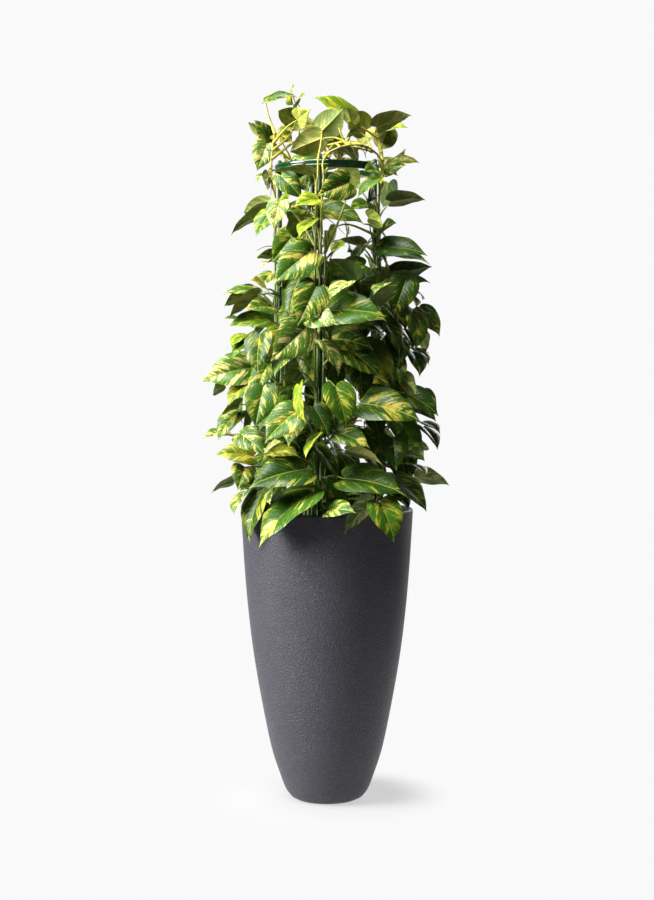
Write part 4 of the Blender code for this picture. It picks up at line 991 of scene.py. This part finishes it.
sectors = marbling(4.2, 3.4, 1.0)
streaks = marbling(19.0, 4.0, 4.0)
flecks = marbling(64.0, 22.0, 3.0)
marble = leaf_skin.sum("MULTIPLY_ADD", streaks, 0.52, leaf_skin.sum("MULTIPLY", sectors, 0.48))
marble = leaf_skin.sum("MULTIPLY_ADD", flecks, 0.30, marble)
threshold = leaf_skin.sum("MULTIPLY_ADD", green_paint["Alpha"], -0.38, 0.835)
above = leaf_skin.sum("SUBTRACT", marble, threshold)
patches = leaf_skin.rise(above, -0.004, 0.018)
fleck_share = leaf_skin.sum("MULTIPLY", leaf_skin.rise(flecks, 0.63, 0.66), 0.7)
blade_colour = tinted(leaf_skin.rise(above, -0.08, -0.01), 0.28, green_paint["Color"], (0.29, 0.38, 0.018))
light_share = leaf_skin.sum("MAXIMUM", patches, fleck_share)
blade_colour = leaf_skin.blend(light_share, blade_colour, light_paint["Color"])
vein_bands = {"Scale": 3.0, "Distortion": 0.6, "Vector": veins_map}
side_veins = leaf_skin.node("ShaderNodeTexWave", vein_bands, bands_direction="X").outputs["Fac"]
blade_colour = tinted(leaf_skin.rise(side_veins, 0.86, 1.0), 0.07, blade_colour, (0.30, 0.42, 0.08))
from_midrib = leaf_skin.sum("ABSOLUTE", leaf_skin.sum("SUBTRACT", leaf_skin.parts(veins_map)["Y"], 0.5))
midrib = leaf_skin.sum("SUBTRACT", 1.0, leaf_skin.rise(from_midrib, 0.006, 0.018))
blade_colour = tinted(midrib, 0.65, blade_colour, (0.40, 0.48, 0.09))
underside = light_paint["Alpha"]
leaf_skin.colour(tinted(underside, 0.30, blade_colour, (0.16, 0.26, 0.08)))
leaf_skin.feed(leaf_skin.shader.inputs["Roughness"], leaf_skin.sum("MULTIPLY_ADD", underside, 0.25, 0.34))
puckers = leaf_skin.sum("MULTIPLY_ADD", side_veins, -0.6, leaf_skin.sum("MULTIPLY", streaks, 0.5))
leaf_skin.relief(puckers, 0.22, 0.0012)

stem_skin = Finish("pothos_stem", 0.42, 0.45)
scar = stem_skin.node("ShaderNodeAttribute", attribute_name="leaf_seed").outputs["Fac"]
young = stem_skin.rise(stem_skin.parts(stem_skin.here)["Z"], 0.85, 1.12)
stem_green = stem_skin.blend(young, (0.11, 0.20, 0.025), (0.50, 0.43, 0.045))
mottling = stem_skin.rise(stem_skin.grain(160.0, 3.0), 0.45, 0.75)
stem_green = stem_skin.blend(mottling, stem_green, (0.24, 0.30, 0.06))
stem_skin.mottle(scar, stem_green, (0.16, 0.10, 0.045))
stem_skin.relief(stem_skin.grain(500.0, 2.0), 0.4, 0.0006)

root_skin = Finish("air_root", 0.8, 0.25)
root_skin.mottle(root_skin.grain(300.0, 2.0), (0.10, 0.045, 0.025), (0.26, 0.15, 0.08))
root_skin.relief(root_skin.grain(900.0, 2.0), 0.5, 0.0005)

# The blade's outline: station of the midrib, station of the margin, half width as a share of the width
LEAF_ROWS = [
    (0.000, -0.020, 0.030), (0.004, -0.085, 0.130), (0.018, -0.118, 0.240), (0.045, -0.100, 0.345),
    (0.090, -0.040, 0.435), (0.150, 0.045, 0.490), (0.230, 0.145, 0.515), (0.330, 0.265, 0.518),
    (0.440, 0.390, 0.492), (0.550, 0.515, 0.440), (0.650, 0.625, 0.365), (0.740, 0.722, 0.280),
    (0.820, 0.810, 0.188), (0.885, 0.880, 0.105), (0.945, 0.944, 0.040), (1.000, 1.000, 0.004),
]
LEAF_COLUMNS = [-1.0, -0.93, -0.75, -0.50, -0.26, -0.06, 0.0, 0.06, 0.26, 0.50, 0.75, 0.93, 1.0]
# Relief of a blade as shares of its length: the swell of each half, the quilting between its side veins, the
# wave of its margin, the drip of its tip and the groove of its midrib
SWELL = 0.068
QUILT = 0.0020
WAVE = 0.016
DRIP = 0.9
GROOVE = 0.007
# Length of stem to one strip of the bake map, and how many strips share a square of it
STRIP_LENGTH = 0.13
STRIPS_PER_CELL = 8
# Slots of the three finishes of a vine, the paint of its stems, and their place on the vein map
BLADE, STEM, ROOT = range(3)
STEM_PAINT = ([0.1, 0.2, 0.04, 0.0], [0.4, 0.5, 0.1, 0.0])
NO_VEINS = (0.0, 0.5)


class Grown:
    """The mesh of one vine as it grows, with its vein map, its bake map and the paint of every point."""

    def __init__(self, leaf_count):
        self.verts, self.faces, self.slots = [], [], []
        self.veins, self.bake = [], []
        self.green, self.light, self.seed = [], [], []
        self.cells = 0
        self.strips = 0
        self.grid = math.ceil(math.sqrt(2 * leaf_count + 8))

    def point(self, place, green, light, seed):
        self.verts.append(place)
        self.green += green
        self.light += light
        self.seed.append(seed)
        return len(self.verts) - 1

    def face(self, corners, slot, veins, bake):
        self.faces.append(corners)
        self.slots.append(slot)
        self.veins += veins
        self.bake += bake

    def in_cell(self, cell, x, y):
        """A place in one square of the bake map, x and y from 0 to 1."""
        column, row = cell % self.grid, cell // self.grid
        return (column + 0.04 + 0.92 * x) / self.grid, (row + 0.04 + 0.92 * y) / self.grid

    def in_strip(self, strip, x, y):
        """A place in one strip of the bake map, filed from the last square back."""
        cell = self.grid * self.grid - 1 - strip // STRIPS_PER_CELL
        return self.in_cell(cell, x, (strip % STRIPS_PER_CELL + 0.1 + 0.8 * y) / STRIPS_PER_CELL)


def blade_place(leaf, row, t, ripple, side):
    """A point of the blade's upper (side 1) or lower (side -1) skin, with its places on the two maps."""
    middle, edge, share = row
    out = abs(t)
    station = middle + (edge - middle) * out ** 1.7
    vein = station - (0.55 + 0.35 * out) * out * share
    hump = math.sin(math.pi * out)
    full = min(1.0, share * 4)
    lift = SWELL * hump * share - DRIP * max(0.0, station - 0.80) ** 2
    lift += QUILT * math.sin(vein * 56 + ripple) * hump * full
    lift += WAVE * math.sin(station * 11 + ripple * 3 + (0 if t > 0 else 2)) * t * t * full
    if t == 0.0:
        lift -= GROOVE * full
    thickness = side * LEAF_THICKNESS * 0.28 * (1 - out ** 3)
    place = leaf.point(station, share * t, lift * leaf.length + thickness)
    return place, (vein, 0.5 + share * t), ((station + 0.12) / 1.12, 0.5 + share * t * 0.98)


def grow_blade(vine, leaf, paint):
    """A leaf blade: an upper and a lower skin that meet at the margin."""
    ripple = painter.uniform(0, math.tau)
    seed = painter.uniform(0, 200)
    green, light, share = PAINTS[paint]
    tone = painter.uniform(0.85, 1.15)
    coverage = min(0.95, max(0.05, share + painter.uniform(-0.06, 0.06)))
    green = [channel * tone for channel in green] + [coverage]
    columns = range(len(LEAF_COLUMNS) - 1)
    skins = {1: [], -1: []}
    for side, rows in skins.items():
        for row in LEAF_ROWS:
            line = []
            for column, t in enumerate(LEAF_COLUMNS):
                place, veins, bake = blade_place(leaf, row, t, ripple, side)
                if side == -1 and abs(t) == 1.0:
                    corner = skins[1][len(rows)][column][0]
                else:
                    corner = vine.point(place, green, [*light, float(side == -1)], seed)
                line.append((corner, veins, vine.in_cell(vine.cells, *bake)))
            rows.append(line)
        vine.cells += 1
    for side, rows in skins.items():
        for low, high in zip(rows, rows[1:]):
            for column in columns:
                spots = [low[column], low[column + 1], high[column + 1], high[column]][::side]
                corners, veins, bake = zip(*spots)
                vine.face(corners, BLADE, veins, bake)
    for row, order, end in ((0, 1, 0.1), (-1, -1, 1.0)):
        for column in columns:
            upper, lower = skins[1][row], skins[-1][row]
            ring = [upper[column], lower[column], lower[column + 1], upper[column + 1]][::order]
            corners = list(dict.fromkeys(spot[0] for spot in ring))
            if len(corners) > 2:
                place = vine.in_cell(vine.cells - 1, end, 0.5)
                vine.face(corners, BLADE, [NO_VEINS] * len(corners), [place] * len(corners))


def grow_tube(vine, points, radii, sides, slot, marks=None):
    """A round stem, stalk or root along points, closed at both ends."""
    ahead = (points[1] - points[0]).normalized()
    side = ahead.orthogonal().normalized()
    lines, reach = [], 0.0
    for index, centre in enumerate(points):
        next_ahead = heading(points, index).normalized()
        side = (ahead.rotation_difference(next_ahead) @ side).normalized()
        ahead = next_ahead
        up = ahead.cross(side)
        if index:
            reach += (centre - points[index - 1]).length
        ring = []
        for step in range(sides):
            turn = math.tau * step / sides
            place = centre + (side * math.cos(turn) + up * math.sin(turn)) * radii[index]
            ring.append(vine.point(place, *STEM_PAINT, marks[index] if marks else 0.0))
        lines.append((ring, reach))
    no_veins = [NO_VEINS] * sides
    for (first, near), (second, far) in zip(lines, lines[1:]):
        part = int((near + far) / 2 / STRIP_LENGTH)
        left, right = (min(1.0, max(0.0, place / STRIP_LENGTH - part)) for place in (near, far))
        for step in range(sides):
            after = (step + 1) % sides
            low, high = step / sides, (step + 1) / sides
            bake = [vine.in_strip(vine.strips + part, x, y)
                    for x, y in ((left, low), (left, high), (right, high), (right, low))]
            vine.face([first[step], first[after], second[after], second[step]], slot, no_veins[:4], bake)
    for ring in (lines[0][0][::-1], lines[-1][0]):
        vine.face(ring, slot, no_veins, [vine.in_strip(vine.strips, 0.0, 0.5)] * sides)
    vine.strips += int(reach / STRIP_LENGTH) + 1


# Air roots that the photograph shows: start and end, across and height in millimetres of the axis plane
AIR_ROOTS = [
    (-97, 1050, -95, 1025), (-93, 943, -119, 933), (-73, 1012, -67, 1009), (45, 1100, 50, 1086),
    (60, 1100, 66, 1088), (80, 1090, 88, 1073), (14, 1100, 22, 1085), (62, 895, 88, 888), (47, 968, 80, 952),
    (-3, 990, 30, 960), (-72, 726, -62, 727),
]
# What counts against a stem place behind the axis, the share of leaf stalks that have a short root beside
# them, the length of stem that a stalk's foot swells, and what a stalk's sheath adds to its radius
BEHIND_COST = 0.1
ROOT_SHARE = 0.55
SCAR_LENGTH = 0.005
SHEATH = 0.0019
root_starts = [[] for stem in stems]
for u1, v1, u2, v2 in AIR_ROOTS:
    starts = [(math.dist(in_view(node), (u1, v1)) + node.y / MM * BEHIND_COST, number, node)
              for number, node in nodes]
    number, node = min(starts)[1:]
    root_starts[number].append((node, from_view(u2 * MM, v2 * MM, node.y - 0.006)))

for number, points in enumerate(stems):
    vine = Grown(len(grown[number]))
    run = rounded(points, 5)
    marks = [max([0.0] + [1.0 - (place - node).length / SCAR_LENGTH for node in used[number]])
             for place in run]
    radii = [STEM_RADIUS * (1.0 - 0.25 * index / (len(run) - 1)) * (0.92 + 0.22 * mark)
             for index, mark in enumerate(marks)]
    grow_tube(vine, run, radii, 10, STEM, marks)
    for leaf, stalk, paint in grown[number]:
        grow_blade(vine, leaf, paint)
        tail = leaf.base + leaf.along * (0.02 * leaf.length)
        run = rounded([*stalk, leaf.base, tail], 5)[:-5] + [leaf.base]
        sunk = -0.0006 - 0.006 * leaf.length
        run += [leaf.point(station, 0.0, sunk) for station in (0.05, 0.14, 0.26, 0.42)]
        shares = [index / (len(run) - 1) for index in range(len(run))]
        radii = [SHEATH * (1 - share) ** 3 + STALK_RADIUS * (1 - share * 0.75) for share in shares]
        grow_tube(vine, run, radii, 8, STEM)
    for node in used[number]:
        if painter.random() < ROOT_SHARE:
            toward = Vector((painter.uniform(-1, 1), painter.uniform(-1, 1), painter.uniform(-0.9, 0.3)))
            toward.normalize()
            length = painter.uniform(0.005, 0.013)
            bend = Vector((painter.uniform(-1, 1), painter.uniform(-1, 1), -1)) * length * 0.25
            root_run = [node, node + toward * length * 0.5 + bend * 0.3, node + toward * length + bend]
            grow_tube(vine, root_run, [0.0011, 0.0008, 0.0003], 6, ROOT)
    for start, end in root_starts[number]:
        middle = start.lerp(end, 0.5) + Vector((0.0, -0.002, 0.003))
        radii = [0.0009 - 0.0005 * step / 8 for step in range(9)]
        grow_tube(vine, rounded([start, middle, end], 4), radii, 6, ROOT)
    name = f"vine_{number + 1:02d}"
    maps = {"veins": vine.veins, "OFBake": vine.bake}
    finishes = [leaf_skin, stem_skin, root_skin]
    grown_vine = piece(name + "_grown", vine.verts, vine.faces, finishes, maps, vine.slots)
    for attribute, kind, field, values in (
        ("leaf_green", "FLOAT_COLOR", "color", vine.green),
        ("leaf_light", "FLOAT_COLOR", "color", vine.light),
        ("leaf_seed", "FLOAT", "value", vine.seed),
    ):
        grown_vine.data.attributes.new(attribute, kind, "POINT").data.foreach_set(field, values)
    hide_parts(name)

# Studio: a plain pale floor that runs into a white ground, a large soft light from the upper left, a weaker
# one above, a faint one behind, and a dim room on the viewer's side. The floor glows, least around the
# foot, so that the shadow shows there.
FLOOR_HALF = 9.0
FLOOR_LEVEL = -0.0006
paper = Finish("studio_floor", 1.0, 0.0)
paper.colour((0.39, 0.39, 0.394))
x, y, z = paper.parts(paper.here)
beside = paper.sum("MULTIPLY_ADD", y, -0.20, paper.sum("ABSOLUTE", x))
before = paper.sum("MULTIPLY", y, -1.0)
dimmed = paper.sum("MAXIMUM", paper.rise(beside, 0.58, 0.95), paper.rise(before, 0.62, 0.95))
strength = paper.sum("MULTIPLY_ADD", dimmed, -0.888, 0.95)
glow = paper.node("ShaderNodeEmission", {"Color": (1.0, 1.0, 1.005), "Strength": strength})
distance = paper.node("ShaderNodeVectorMath", {0: paper.here}, operation="LENGTH").outputs["Value"]
glow_share = paper.sum("MULTIPLY_ADD", paper.rise(distance, 0.11, 0.22), 0.38, 0.62)
both = paper.node("ShaderNodeMixShader", {0: glow_share, 1: paper.shader.outputs[0], 2: glow.outputs[0]})
paper.feed(paper.tree.nodes["Material Output"].inputs["Surface"], both.outputs[0])
floor_mesh = bpy.data.meshes.new("studio_floor")
corners = [(x * FLOOR_HALF, y * FLOOR_HALF, FLOOR_LEVEL) for x, y in ((-1, -1), (1, -1), (1, 1), (-1, 1))]
floor_mesh.from_pydata(corners, [], [(0, 1, 2, 3)])
floor_mesh.materials.append(paper.material)
floor = bpy.data.objects.new("studio_floor", floor_mesh)
bpy.context.scene.collection.objects.link(floor)


def soft_light(name, place, target, width, height, power):
    light = bpy.data.lights.new(name, "AREA")
    light.shape = "RECTANGLE"
    light.size = width
    light.size_y = height
    light.energy = power
    holder = bpy.data.objects.new(name, light)
    holder.location = place
    holder.rotation_euler = (Vector(target) - Vector(place)).to_track_quat("-Z", "Y").to_euler()
    bpy.context.scene.collection.objects.link(holder)


soft_light("key_light", (-2.25, -0.85, 1.75), (0.0, 0.0, 0.65), 1.3, 2.0, 215.0)
soft_light("top_light", (-0.6, -0.6, 3.0), (0.0, 0.0, 0.8), 1.4, 1.4, 125.0)
soft_light("back_light", (1.4, 2.6, 1.5), (0.0, 0.0, 0.65), 1.2, 1.6, 45.0)

world = bpy.data.worlds.new("studio")
bpy.context.scene.world = world
room = Nodes(world)
backdrop = room.tree.nodes["Background"].inputs
direction = room.node("ShaderNodeTexCoord").outputs["Generated"]
lit = room.rise(room.parts(direction)["Y"], 0.78, 0.94)
room.feed(backdrop["Strength"], 1.0)
room.feed(backdrop["Color"], room.blend(lit, (0.060, 0.060, 0.063), (0.95, 0.95, 0.955)))

# The camera looks down a little, from the eye's place for which the leaves were read
LENS = 65.9
LOOKS_DOWN = math.radians(2.78)
bpy.context.scene.view_settings.view_transform = "Standard"
camera_data = bpy.data.cameras.new("camera")
camera_data.lens = LENS
camera_data.sensor_width = 36.0
camera = bpy.data.objects.new("camera", camera_data)
camera.location = (0.0, -EYE_DISTANCE, EYE_HEIGHT)
camera.rotation_euler = (math.pi / 2 - LOOKS_DOWN, 0.0, 0.0)
bpy.context.scene.collection.objects.link(camera)
bpy.context.scene.camera = camera
